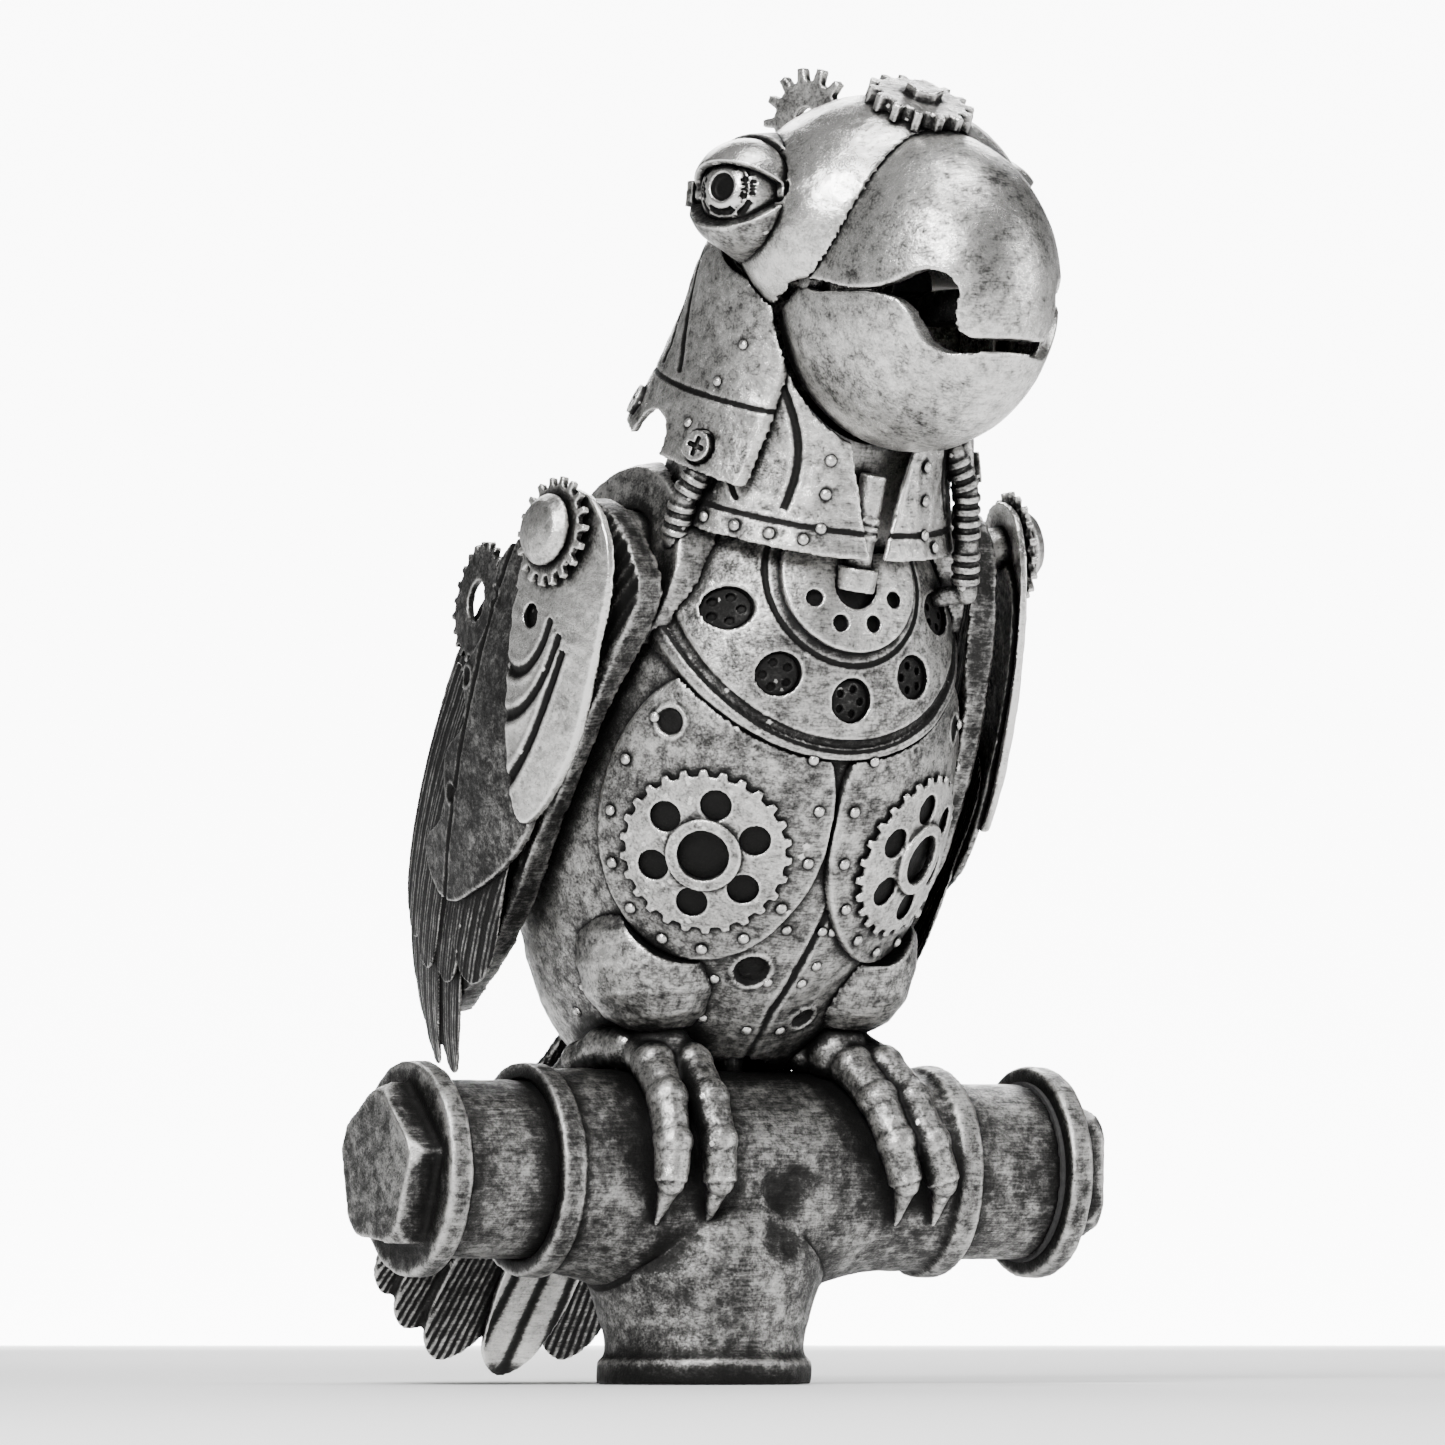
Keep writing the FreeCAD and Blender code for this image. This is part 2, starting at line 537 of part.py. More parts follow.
def eye(name, side):
    spot = eye_frame(side)
    skull = skull_solid(0)
    ball_shape = placed(Part.makeSphere(EYE_R), spot).cut(disc(spot, 4.3, 9.9, 12))
    ball_shape = ball_shape.cut(disc(spot, 6.6, 0, 12).cut(disc(spot, 5.9, -1, 13)).common(
        placed(Part.makeSphere(20).cut(Part.makeSphere(EYE_R - 0.6)), spot)))
    add("eyeball_" + name, ball_shape)
    cup = revolved([(0, -17), (18, -17), (16.2, -9), (15.0, -3), (14.4, -0.3), (0, -0.3)], spot)
    for end in (-1, 1):
        lug = placed(Part.makeBox(2.2, 6.4, 6.8, V(13.25 if end > 0 else -15.45, -3.2, -3.8)), spot)
        cup = cup.fuse(lug)
    ears = placed(Part.makeCylinder(3.3, 26.5, V(-13.25, 0, 0), V(1, 0, 0)), spot)
    bore = placed(Part.makeCylinder(1.36, 40, V(-20, 0, 0), V(1, 0, 0)), spot)
    cup = cup.cut(placed(Part.makeSphere(EYE_R), spot)).cut(ears).cut(bore).cut(skull).cut(beak_room())
    cup = biggest(cup)
    shell = Part.makeSphere(EYE_R + LID_T).cut(Part.makeSphere(EYE_R + 0.3))
    upper = shell.common(wedge(3, 62))
    knuckles = Part.makeCylinder(2.9, 27, V(-13.5, 0, 0), V(1, 0, 0)).common(
        Part.makeSphere(EYE_R + LID_T).cut(Part.makeSphere(EYE_R + 0.3)))
    pins = Part.makeCylinder(1.3, 30.8, V(-15.4, 0, 0), V(1, 0, 0)).cut(Part.makeSphere(EYE_R + 1.2))
    add("eyelid_" + name, placed(upper.fuse(knuckles).fuse(pins), spot))
    lower = Part.makeSphere(EYE_R + 3.6).cut(Part.makeSphere(EYE_R + 0.02)).common(wedge(133, 181.0))
    lower = placed(lower, spot).cut(ears).cut(bore).cut(beak_room()).cut(skull)
    lower = biggest(lower)
    add("eye_socket_" + name, cup.fuse(lower))


def crest(skin):
    """Spiky gear on edge in the top of the head, cogs, and their bolts."""
    skull = skull_solid(0)
    stand = frame(HEAD.multVec(V(-17, 25.5, 9)), HEAD_SIDE + HEAD_FORWARD * 0.25, HEAD_FORWARD)
    gear = prism(gear_outline(13, 12.6, 9.4), stand, -1.3, 1.3).cut(disc(stand, 3.0, -3, 3))
    add("crest_gear", gear.cut(skull))
    cogs, bolts = [], []
    for f, side, turn, tip in ((15, 1, 0, 13.0), (-4, -10, 12, 9.5)):
        up = math.sqrt(SKULL_R ** 2 - f ** 2 - (side * SKULL_R / SKULL_HALF_WIDTH) ** 2)
        out = V(f, up, side * (SKULL_R / SKULL_HALF_WIDTH) ** 2)
        spot = frame(HEAD.multVec(V(f, up, side)), HEAD.Rotation.multVec(out), HEAD_FORWARD)
        cog = prism(gear_outline(14, tip, tip - 2.4), spot, -3.4, 2.4)
        cogs.append(cog.cut(disc(spot, 3.0, -6, 6)).cut(skull))
        hexagon = [(4.6 * math.cos(math.radians(60 * i)), 4.6 * math.sin(math.radians(60 * i))) for i in range(6)]
        bolts.append(disc(spot, 3.0, -3.5, 2.4).fuse(prism(hexagon, spot, 2.4, 5.0)))
        skin = skin.cut(disc(spot, 3.0, -8, 3))
    room = ball(0)
    cogs = [cog.cut(room) for cog in cogs]
    cogs[1] = cogs[1].cut(gear).cut(cogs[0])
    add("head_cogs", group(cogs + bolts))
    for eye_side in (-1, 1):
        skin = skin.cut(eye_pocket(eye_side))
    add("skull", biggest(skin))


# ---- wings --------------------------------------------------------------------------------
WING_MID = on_wing(-85, 0)      # local X runs forward, local Y up and local Z outward
COVER = [(-12, 58), (-6, 69), (6, 71), (17, 63), (23, 46), (26, 27), (26, 12), (17, -7), (10, 2), (2, 18), (-6, 36)]
UNDER = [(12, 55), (-10, 55), (-24, 42), (-20, 24), (-24, 12), (-17, 2), (-23, -9), (-18, -22), (-26, -34),
         (-14, -42), (2, -34), (17, -14), (19, 20)]
FEATHERS = (                    # (start x, start y, end x, end y, half width, layer)
    (8, 6, 0, -58, 9.0, 1), (-6, 2, -15, -66, 7.6, 0),
    (-18, 4, -26, -68, 7.2, 1), (-30, 8, -38, -66, 7.0, 0))
PRIMARIES = ((-6, -16, -20, -94, 6.6, 0), (-18, -12, -32, -98, 6.6, 1), (-32, -6, -44, -94, 6.6, 0))


def feather_outline(x0, y0, x1, y1, half):
    """Closed outline of a long feather with a rounded, slightly pointed tip."""
    length = math.hypot(x1 - x0, y1 - y0)
    dx, dy = (x1 - x0) / length, (y1 - y0) / length
    shape = [(0.0, -0.62), (0.25, -0.9), (0.6, -1.0), (0.9, -0.9), (0.98, -0.45), (1.0, 0.0), (0.98, 0.45),
             (0.9, 0.9), (0.6, 1.0), (0.25, 0.9), (0.0, 0.62)]
    return [(x0 + dx * t * length - dy * w * half, y0 + dy * t * length + dx * w * half) for t, w in shape]


def wing():
    """The bird's right wing, on the -X side. Returns its nodes' shapes."""
    hole = disc(WING_PIVOT, 5.06, -40, 40)
    base = wing_layer(-4.6, 2.1, smooth_prism(UNDER_BASE, WING_MID, -70, 12))
    for angle in (0, 7, 14, 21):
        base = base.cut(swung(trunk_solid(1.2), angle))
    under = wing_layer(6.0, 7.6, smooth_prism(UNDER, WING_MID, -50, 20))
    rim = [(-35 + x, 25 + y) for x, y in gear_outline(22, 14.5, 12.6)]
    wheel = wing_layer(2.15, 4.4, prism(rim, WING_MID, -50, 20).cut(disc(WING_MID, 5.0, -50, 20, -35, 25)))
    cover = wing_layer(7.65, 9.6, smooth_prism(COVER, WING_MID, -50, 20))
    cover = cover.cut(disc(on_wing(-84, 38), 2.8, -20, 20))
    secondaries, primaries = [], []
    for x0, y0, x1, y1, half, level in FEATHERS:
        low = 4.2 + 0.9 * level
        outline = smooth_prism(feather_outline(x0, y0, x1, y1, half), WING_MID, -70, 20)
        secondaries.append(wing_layer(low, low + 0.85, outline))
    for x0, y0, x1, y1, half, level in PRIMARIES:
        low = 2.15 + 1.0 * level
        outline = smooth_prism(feather_outline(x0, y0, x1, y1, half), WING_MID, -70, 20)
        primaries.append(wing_layer(low, low + 0.95, outline))
    gear = prism(gear_outline(18, 13.2, 10.8), WING_PIVOT, 9.7, 11.6).cut(disc(WING_PIVOT, 5.06, 5, 15))
    return {"wing_base": base.cut(hole), "wing_under": group([under.cut(hole), wheel]), "wing_cover": cover.cut(hole),
            "secondaries": group(secondaries), "primaries": group(primaries), "shoulder_gear": gear}


WING_PIVOT = on_wing(-WING_PIVOT_PHI, WING_PIVOT_S)
UNDER_BASE = [(16, 62), (-6, 66), (-22, 52), (-36, 26), (-45, -3), (-48, -40), (-48, -72), (-40, -82), (-24, -80),
              (-8, -66), (6, -46), (14, -20), (20, 10), (22, 40)]


def swung(shape, angle):
    """A fixed shape as the right wing sees it once it has swung back by an angle in degrees."""
    axis = WING_PIVOT.Rotation.multVec(V(0, 0, 1))
    turned = shape.copy()
    turned.rotate(WING_PIVOT.Base, axis, angle * WING_SWING_SIGN)
    return turned


def shoulder():
    """Rounded boss between the trunk and the wing, under the pivot bolt."""
    boss = placed(Part.makeSphere(25.0, V(0, -3, -22)), WING_PIVOT)
    boss = boss.common(disc(WING_PIVOT, 40, -60, -10.8, 0, 0))
    return boss.cut(trunk_solid()).cut(disc(WING_PIVOT, 9.0, -40, 40))


WING_SWING_SIGN = 1             # sense, about the outward pivot axis, in which the trunk passes under the wing


def shoulder_bolt():
    """Pivot bolt of the right wing: domed head outside, shank through to the trunk."""
    shank = disc(WING_PIVOT, 5.0, -14, 12.0)
    head_part = revolved([(0, 12.0), (8.6, 12.0), (8.6, 13.4), (6.6, 15.6), (3.4, 16.8), (0, 17.2)], WING_PIVOT)
    spacer = disc(WING_PIVOT, 9.0, -14, -5.9)
    return shank.fuse(head_part).fuse(spacer).cut(trunk_solid())


# ---- back and tail ------------------------------------------------------------------------
TAIL_BASE = V(BIRD_X, 22.0, 104.0)
TAIL_TIP = V(BIRD_X, 123.0, 2.0)
TAIL_FAN = ((7.0, 0.985), (12.0, 0.94), (16.5, 0.89))       # side feathers: angle from the middle, share of length
TAIL_T = 2.4


def back():
    spot = on_trunk(180, 12)
    plate = trunk_layer(0.02, 2.2).common(smooth_prism(oval(26, 56), spot, -12, 12))
    plate = plate.cut(solid_under(CAPE_OUTSIDE, 0.3, HOOD)).cut(solid_under(NECK_OUTSIDE, 0.2, NECK))
    hub = on_trunk(180, 14)
    add("back_plate", plate.cut(disc(hub, 3.0, -12, 12)))
    gear = prism(gear_outline(22, 21.0, 17.6), hub, 3.6, 6.4)
    for i in range(5):
        angle = math.radians(18 + 72 * i)
        gear = gear.cut(disc(hub, 3.8, 0, 8, 11.2 * math.cos(angle), 11.2 * math.sin(angle)))
    gear = gear.cut(disc(hub, 3.0, 0, 8))
    axle = disc(hub, 3.0, -6, 6.4).fuse(disc(hub, 5.4, 6.4, 8.6)).fuse(disc(hub, 5.0, 2.3, 3.6))
    add("back_gear", gear.fuse(axle.cut(trunk_solid())))


def tail():
    along = TAIL_TIP - TAIL_BASE
    length = along.Length
    flat = frame(TAIL_BASE, V(1, 0, 0).cross(along), V(1, 0, 0))
    down = 1 if flat.Rotation.inverted().multVec(along).y > 0 else -1
    trunk = trunk_solid()

    def feather(angle, share, half, low, turn):
        reach = length * share
        outline = feather_outline(0, 0, reach * math.sin(math.radians(angle)) * turn,
                                  down * reach * math.cos(math.radians(angle)), half)
        return smooth_prism(outline, flat, low, low + TAIL_T).cut(trunk)

    outer = 1 if flat.Rotation.multVec(V(0, 0, 1)).y > 0 else -1
    add("tail_center", feather(0, 1.0, 10.0, -TAIL_T / 2, 1))
    for name, turn in (("left", -1), ("right", 1)):
        plates = []
        for i, (angle, share) in enumerate(TAIL_FAN):
            low = -TAIL_T / 2 + outer * (i + 1) * TAIL_T
            plates.append(feather(angle, share, 10.4, low, turn))
        if turn > 0:
            plates = [plate.cut(group(PARTS["tail_left"].Solids)) for plate in plates]
        add("tail_" + name, group(plates))


# ---- legs and feet ------------------------------------------------------------------------
LEG_MID, LEG_X = BIRD_X + 0.17, 23.5    # plane between the legs, and each leg's distance from it
FOOT_GAP = 0.09                 # between the feet and the trunk above them
TOE_R = 5.3
TOE_WALK = TEE_R + TOE_R
TOES = {                        # start and end beside the leg, then forward or back
    "left": ((-4, -7, 1), (5, 6, 1), (-6, -12, -1), (5, 7, -1)),
    "right": ((-1, 9, 1), (7, 19, 1), (-6, -10, -1), (5, 9, -1))}
TOE_ANGLES = (2, 24, 47, 69, 88)


def wrap(x, angle, radius=TOE_WALK):
    """Point on a cylinder round the run; angle from the top towards the front, in degrees."""
    return V(x, -radius * math.sin(math.radians(angle)), RUN_Z + radius * math.cos(math.radians(angle)))


def leg(name, side):
    """Thigh and foot; side is -1 or +1 along X."""
    x = LEG_MID + side * LEG_X
    hip = V(x + side * 3, -10.0, 118.0)
    ankle = V(x, -9.0, RUN_Z + TEE_R + 9.0)
    shin = frame(ankle, hip - ankle, V(1, 0, 0))
    egg = revolved([(0, 0.6), (8, 0.6), (13, 4), (17, 10), (18.6, 17), (18, 25), (14, 32), (7, 37), (0, 38)], shin)
    egg = egg.cut(trunk_solid()).cut(RUN_CLEAR)
    plate_room = oval(BREAST_HALF_W + 0.6, BREAST_HALF_H + 0.6)
    egg = biggest(egg.cut(smooth_prism(plate_room, on_trunk(side * BREAST_PHI, BREAST_S), -8, 20)))
    foot = Part.makeSphere(7.8, V(x, -9.0, RUN_Z + TEE_R + 5.0))
    foot = foot.fuse(cylinder(V(x, -9.0, RUN_Z + TEE_R + 3), ankle + (hip - ankle).normalize() * 0.6, 5.6))
    for start, end, way in TOES[name]:
        points = []
        for i, angle in enumerate(TOE_ANGLES):
            share = i / (len(TOE_ANGLES) - 1)
            points.append(wrap(x + start * (1 - share) + end * share,
                               (angle + 8) if way > 0 else 10 - angle * 0.8))
        for i, (here, there) in enumerate(zip(points, points[1:])):
            radius = TOE_R - 0.28 * i
            foot = foot.fuse(Part.makeCone(radius, radius - 0.35, (there - here).Length, here, there - here))
            foot = foot.fuse(Part.makeSphere(radius + 0.45, here))
        last = points[-1]
        step = 26 * way
        tip_angle = (TOE_ANGLES[-1] + 8 + step) if way > 0 else 10 - TOE_ANGLES[-1] * 0.8 + step
        tip = wrap(last.x + (end - start) * 0.1, tip_angle, TEE_R + 1.2)
        foot = foot.fuse(Part.makeSphere(3.4, last))
        foot = foot.fuse(Part.makeCone(3.0, 0.5, (tip - last).Length, last, tip - last))
    foot = foot.cut(RUN_CLEAR).cut(egg).cut(trunk_solid(FOOT_GAP))
    add("thigh_" + name, egg)
    add("foot_" + name, group([solid for solid in foot.Solids if solid.Volume > CRUMB]))


# ---- throat rod and hoses -----------------------------------------------------------------
ROD_R = 3.2


def throat():
    low = BIB.multVec(V(0, -2, 2.3))
    high = neck_spot(3, 31, 28.3).Base
    along = (high - low).normalize()
    socket = tube(low - along * 0.6, low + along * 5, 5.1, ROD_R)
    rod = cylinder(low, high, ROD_R)
    for i in range(3):
        ring_at = low + along * (12 + 1.9 * i)
        rod = rod.fuse(cylinder(ring_at, ring_at + along * 0.9, ROD_R + 0.5))
    core = PARTS["neck_core"]
    rod = rod.cut(beak_room()).cut(core)
    room = group([PARTS["bib_plate"], PARTS["bib_cap"], PARTS["trunk_shell"], core])
    add("throat_rod", biggest(rod.fuse(socket).cut(room)))


HOSES = {                       # (azimuth, height, distance) of each hose's points in the neck's frame
    "left": ((-70, 31, 34.0), (-73, 25, 37.0), (-76, 18, 38.4), (-78, 8, 38.0)),
    "right": ((50, 36, 33.5), (53, 28, 37.5), (56, 14, 39.6), (58, 3, 41.0))}
HOSE_R, HOSE_BAND_R, HOSE_PITCH = 2.9, 3.5, 3.0


def hose(name):
    """Banded hose beside the neck, plugged into it at the top and into the trunk below."""
    points = [neck_spot(*place).Base for place in HOSES[name]]
    body = Part.makeSphere(HOSE_R, points[0])
    for here, there in zip(points, points[1:]):
        body = body.fuse(cylinder(here, there, HOSE_R)).fuse(Part.makeSphere(HOSE_R, there))
        along = (there - here).normalize()
        for i in range(int((there - here).Length / HOSE_PITCH)):
            spot = here + along * (1.2 + HOSE_PITCH * i)
            body = body.fuse(cylinder(spot, spot + along * HOSE_PITCH / 2, HOSE_BAND_R))
    phi, t, _ = HOSES[name][0]
    body = body.fuse(cylinder(points[0], neck_spot(phi, t, 20).Base, 2.4))
    phi, t, _ = HOSES[name][-1]
    body = body.fuse(cylinder(points[-1], neck_spot(phi, t - 4, 30).Base, 2.4))
    for other in ("neck_shell", "neck_core", "bib_plate", "bib_inserts", "neck_cape", "shoulders",
                  "shoulder_bolt_left", "shoulder_bolt_right"):
        body = body.cut(PARTS[other])
    body = body.cut(solid_under(NECK_OUTSIDE, 0, NECK)).cut(beak_room()).cut(trunk_solid())
    add("hose_" + name, biggest(body))


# ---- rivets -------------------------------------------------------------------------------
def rivet(spot, radius=1.5):
    dome = [(0, 0), (radius, 0), (radius * 0.94, 0.35 * radius), (radius * 0.6, 0.68 * radius), (0, 0.8 * radius)]
    return revolved(dome, spot)


def rivets(screws):
    neck_heads = []
    for phi in (-68, -54, -40, -27, 34, 74):
        neck_heads.append(rivet(neck_spot(phi, 15.0, neck_radius(15.0)), 1.4))
    for t in (18, 26, 34):
        for phi in (-21, 27):
            neck_heads.append(rivet(neck_spot(phi, t, neck_radius(t)), 1.4))
    breast = []
    for i in range(16):
        angle = 2 * math.pi * (i + 0.5) / 16
        x, y = (BREAST_HALF_W - 3.0) * math.cos(angle), (BREAST_HALF_H - 3.2) * math.sin(angle)
        phi = BREAST_PHI + math.degrees(x / TRUNK_B)
        spot = on_trunk(phi, BREAST_S + y, 2.0)
        depth = PARTS["breast_plate_right"].distToShape(Part.Vertex(spot.Base))[0]
        if depth < 0.05:
            breast.append(rivet(spot, 1.4))
    add("fasteners", group(screws + neck_heads + breast + [mirrored(group(breast))]))


# ---- build --------------------------------------------------------------------------------
def build():
    pipe_tee()
    cap("left", -1)
    cap("right", 1)
    mast()
    trunk_shell()
    plate, wheel = breast_plate()
    for name, turn in (("right", lambda s: s), ("left", mirrored)):
        add("breast_plate_" + name, turn(plate))
        add("breast_gear_" + name, turn(wheel))
    bib()
    screws = neck()
    skin = head()
    for name, side in (("right", -1), ("left", 1)):
        eye(name, side)
    crest(skin)
    shapes = wing()
    bolt = shoulder_bolt()
    boss = shoulder()
    neck_room = solid_under(NECK_OUTSIDE, 0.15, NECK)
    add("shoulders", group([boss, mirrored(boss)]).cut(neck_room).cut(solid_under(CAPE_OUTSIDE, 0.15, HOOD)))
    for name, turn in (("left", lambda s: s), ("right", mirrored)):
        for node, shape in shapes.items():
            add(node + "_" + name, turn(shape))
        add("shoulder_bolt_" + name, biggest(turn(bolt).cut(neck_room)))
    back()
    tail()
    leg("left", -1)
    leg("right", 1)
    throat()
    hose("left")
    hose("right")
    rivets(screws)
    carve("fasteners", ("neck_shell", "neck_cape", "shoulders", "shoulder_bolt_left", "shoulder_bolt_right",
                        "hose_left", "hose_right", "bib_plate"))
    carve("bib_plate", ("neck_core", "shoulder_bolt_left", "shoulder_bolt_right"))
    carve("shoulders", ("neck_core", "bib_plate", "bib_inserts"))
    carve("trunk_shell", ("neck_core",))
    PARTS["trunk_shell"] = biggest(PARTS["trunk_shell"])
    for node in ("neck_shell", "neck_core", "neck_cape"):
        carve(node, ("eye_socket_left", "eye_socket_right"))


build()
os.makedirs("parts", exist_ok=True)
for name, shape in PARTS.items():
    shape.exportStep("parts/" + name + ".step")
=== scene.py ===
"""Looks of the clockwork parrot on a capped pipe tee. Metres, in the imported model's frame."""

import json
import math

import bmesh
import bpy
import numpy as np
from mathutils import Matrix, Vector


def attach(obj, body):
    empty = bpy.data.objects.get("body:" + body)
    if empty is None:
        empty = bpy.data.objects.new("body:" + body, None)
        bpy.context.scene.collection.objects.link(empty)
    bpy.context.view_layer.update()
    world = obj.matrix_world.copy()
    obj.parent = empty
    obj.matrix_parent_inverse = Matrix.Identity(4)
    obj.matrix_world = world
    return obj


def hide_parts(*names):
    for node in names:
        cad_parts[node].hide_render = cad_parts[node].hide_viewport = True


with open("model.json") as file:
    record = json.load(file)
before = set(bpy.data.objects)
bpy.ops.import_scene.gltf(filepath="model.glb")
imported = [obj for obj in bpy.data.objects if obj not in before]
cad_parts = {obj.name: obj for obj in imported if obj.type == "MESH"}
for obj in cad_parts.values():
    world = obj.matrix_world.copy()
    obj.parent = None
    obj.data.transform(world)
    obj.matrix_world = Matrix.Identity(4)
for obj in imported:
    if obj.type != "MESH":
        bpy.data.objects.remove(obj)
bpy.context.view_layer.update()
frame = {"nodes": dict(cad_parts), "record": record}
NODES = frame["nodes"]
SLOTS = {entry["node"]: entry["material_slot"] for entry in frame["record"]["subparts"]}
BODIES = {node: body for body, nodes in frame["record"]["behaviour"]["bodies"].items() for node in nodes}
MM = 0.001           # a millimetre in metres
PER_METRE = 1000     # millimetres in a metre
TURN = 2 * math.pi   # a full turn in radians
CRUMB_SIZE = 40      # a loose scrap has at most this many points
CRUMB_STEPS = 12     # more than the edges from one end of a scrap to the other


# ---- materials ----------------------------------------------------------------------------
def set_ramp(ramp, stops):
    """Sets a colour ramp's stops, each a place and a grey value or a colour."""
    for i, (place, value) in enumerate(stops):
        element = ramp.elements[i] if i < 2 else ramp.elements.new(place)
        element.position = place
        element.color = (*(value if isinstance(value, tuple) else (value,) * 3), 1)


class Graph:
    """Short names for adding nodes to one material."""

    def __init__(self, name):
        self.material = bpy.data.materials.new(name)
        self.material.use_nodes = True
        self.tree = self.material.node_tree
        self.shader = self.tree.nodes["Principled BSDF"]

    def add(self, kind, values=(), **settings):
        node = self.tree.nodes.new("ShaderNode" + kind)
        for key, value in settings.items():
            setattr(node, key, value)
        for key, value in dict(values).items():
            if isinstance(value, bpy.types.NodeSocket):
                self.tree.links.new(value, node.inputs[key])
            else:
                node.inputs[key].default_value = value
        return node

    def feed(self, socket, name):
        self.tree.links.new(socket, self.shader.inputs[name])

    def maths(self, operation, a, b=0.0, c=0.0, clamp=False):
        return self.add("Math", {0: a, 1: b, 2: c}, operation=operation, use_clamp=clamp).outputs[0]

    def weighed(self, signal, level, weight):
        """How far a signal stands above a level, times a weight."""
        return self.maths("MULTIPLY", self.maths("SUBTRACT", signal, level), weight)

    def ramp(self, factor, stops):
        node = self.add("ValToRGB", {"Fac": factor})
        set_ramp(node.color_ramp, stops)
        return node.outputs["Color"]

    def noise(self, coordinates, scale, detail, roughness):
        inputs = {"Vector": coordinates, "Scale": scale, "Detail": detail, "Roughness": roughness}
        return self.add("TexNoise", inputs).outputs["Fac"]

    def scratches(self, coordinates, turn, scale):
        """Fine parallel scratches: noise stretched along one direction."""
        stretched = self.add("Mapping", {"Vector": coordinates, "Rotation": turn, "Scale": (0.09, 1.0, 1.0)})
        return self.noise(stretched.outputs["Vector"], scale, 3.0, 0.6)

    def bump(self, strength, distance, height):
        bump = self.add("Bump", {"Strength": strength, "Distance": distance, "Height": height})
        self.feed(bump.outputs["Normal"], "Normal")


DARKEST = 0.014                     # of the wash in the deepest hollows
WARM_WHITE = (1.0, 0.985, 0.955)    # silver's tint
# Rubbed edges: the pointiness of a flat face, the gain above it, and the least and most that it adds.
FLAT, EDGE_GAIN, EDGE_LEAST, EDGE_MOST = 0.515, 7.0, -0.6, 0.45


def antique(name, bright=0.80, cover=0.50, patch=0.55, reach=5.0, rough=0.30, pits=0.16, brushed=0.10):
    """Silver with a dark wash left in its hollows and pits, and dry-brushed bright on what stands proud.

    cover sets how much stays dark, patch how blotchy the wash is, reach how wide a hollow holds it in mm,
    pits how strong the fine bumps are, and brushed how strong the scratches are.
    """
    g = Graph(name)
    place = g.add("TexCoord").outputs["Object"]
    mm = g.add("Mapping", {"Vector": place, "Scale": (PER_METRE,) * 3}).outputs["Vector"]
    open_sky = g.add("AmbientOcclusion", {"Distance": reach * MM}, samples=8).outputs["AO"]
    near = g.add("AmbientOcclusion", {"Distance": reach * MM * 0.3}, samples=6).outputs["AO"]
    patches = g.noise(mm, 0.055, 5.0, 0.62)
    blotches = g.noise(mm, 0.30, 6.0, 0.68)
    specks = g.noise(mm, 1.5, 5.0, 0.7)
    first = g.scratches(mm, (0.3, 0.9, 0.5), 1.7)
    second = g.scratches(mm, (1.3, -0.4, 2.1), 2.3)

    # What rubs the silver bright: each signal, the level where it does nothing, and its weight.
    wear = g.weighed(open_sky, 0.72, 1.15)
    for signal, level, weight in ((near, 0.85, 0.9), (patches, 0.5, patch * 1.1), (blotches, 0.5, patch * 1.5),
                                  (specks, 0.5, 0.55), (first, 0.5, 0.30), (second, 0.5, 0.30)):
        wear = g.maths("ADD", wear, g.weighed(signal, level, weight))
    edges = g.weighed(g.add("NewGeometry").outputs["Pointiness"], FLAT, EDGE_GAIN)
    wear = g.maths("ADD", wear, g.maths("MAXIMUM", g.maths("MINIMUM", edges, EDGE_MOST), EDGE_LEAST))
    wash = g.add("Attribute", attribute_name="wash").outputs["Fac"]
    wear = g.maths("SUBTRACT", wear, g.maths("MULTIPLY", wash, 0.9))
    wear = g.maths("ADD", wear, 0.70 - cover)
    wear = g.maths("MULTIPLY_ADD", wear, 1.35, -0.16, True)

    half_dark = math.sqrt(bright * DARKEST) * 0.4
    tones = ((0.0, DARKEST), (0.36, half_dark), (0.54, bright * 0.22), (0.74, bright * 0.62), (1.0, bright))
    g.feed(g.ramp(wear, [(stop, tuple(tone * t for t in WARM_WHITE)) for stop, tone in tones]), "Base Color")
    g.feed(g.ramp(wear, [(0.0, rough + 0.34), (0.5, rough + 0.12), (1.0, rough)]), "Roughness")
    g.shader.inputs["Metallic"].default_value = 0.93
    height = g.maths("ADD", g.maths("MULTIPLY", blotches, 0.5), g.maths("MULTIPLY", specks, 0.35))
    for scratch in (first, second):
        height = g.maths("ADD", height, g.maths("MULTIPLY", scratch, brushed * 2.0))
    g.bump(0.55, pits * MM * 4.0, height)
    return g.material


def rubber(name, color, roughness, grain):
    """Dull dark material with a fine grain, given in bumps per millimetre."""
    g = Graph(name)
    speckle = g.noise(g.add("TexCoord").outputs["Object"], grain * PER_METRE, 5.0, 0.6)
    tones = [(0.3, tuple(c * 0.6 for c in color)), (0.7, tuple(c * 1.4 for c in color))]
    g.feed(g.ramp(speckle, tones), "Base Color")
    g.shader.inputs["Roughness"].default_value = roughness
    g.bump(0.4, 0.2 * MM, speckle)
    return g.material


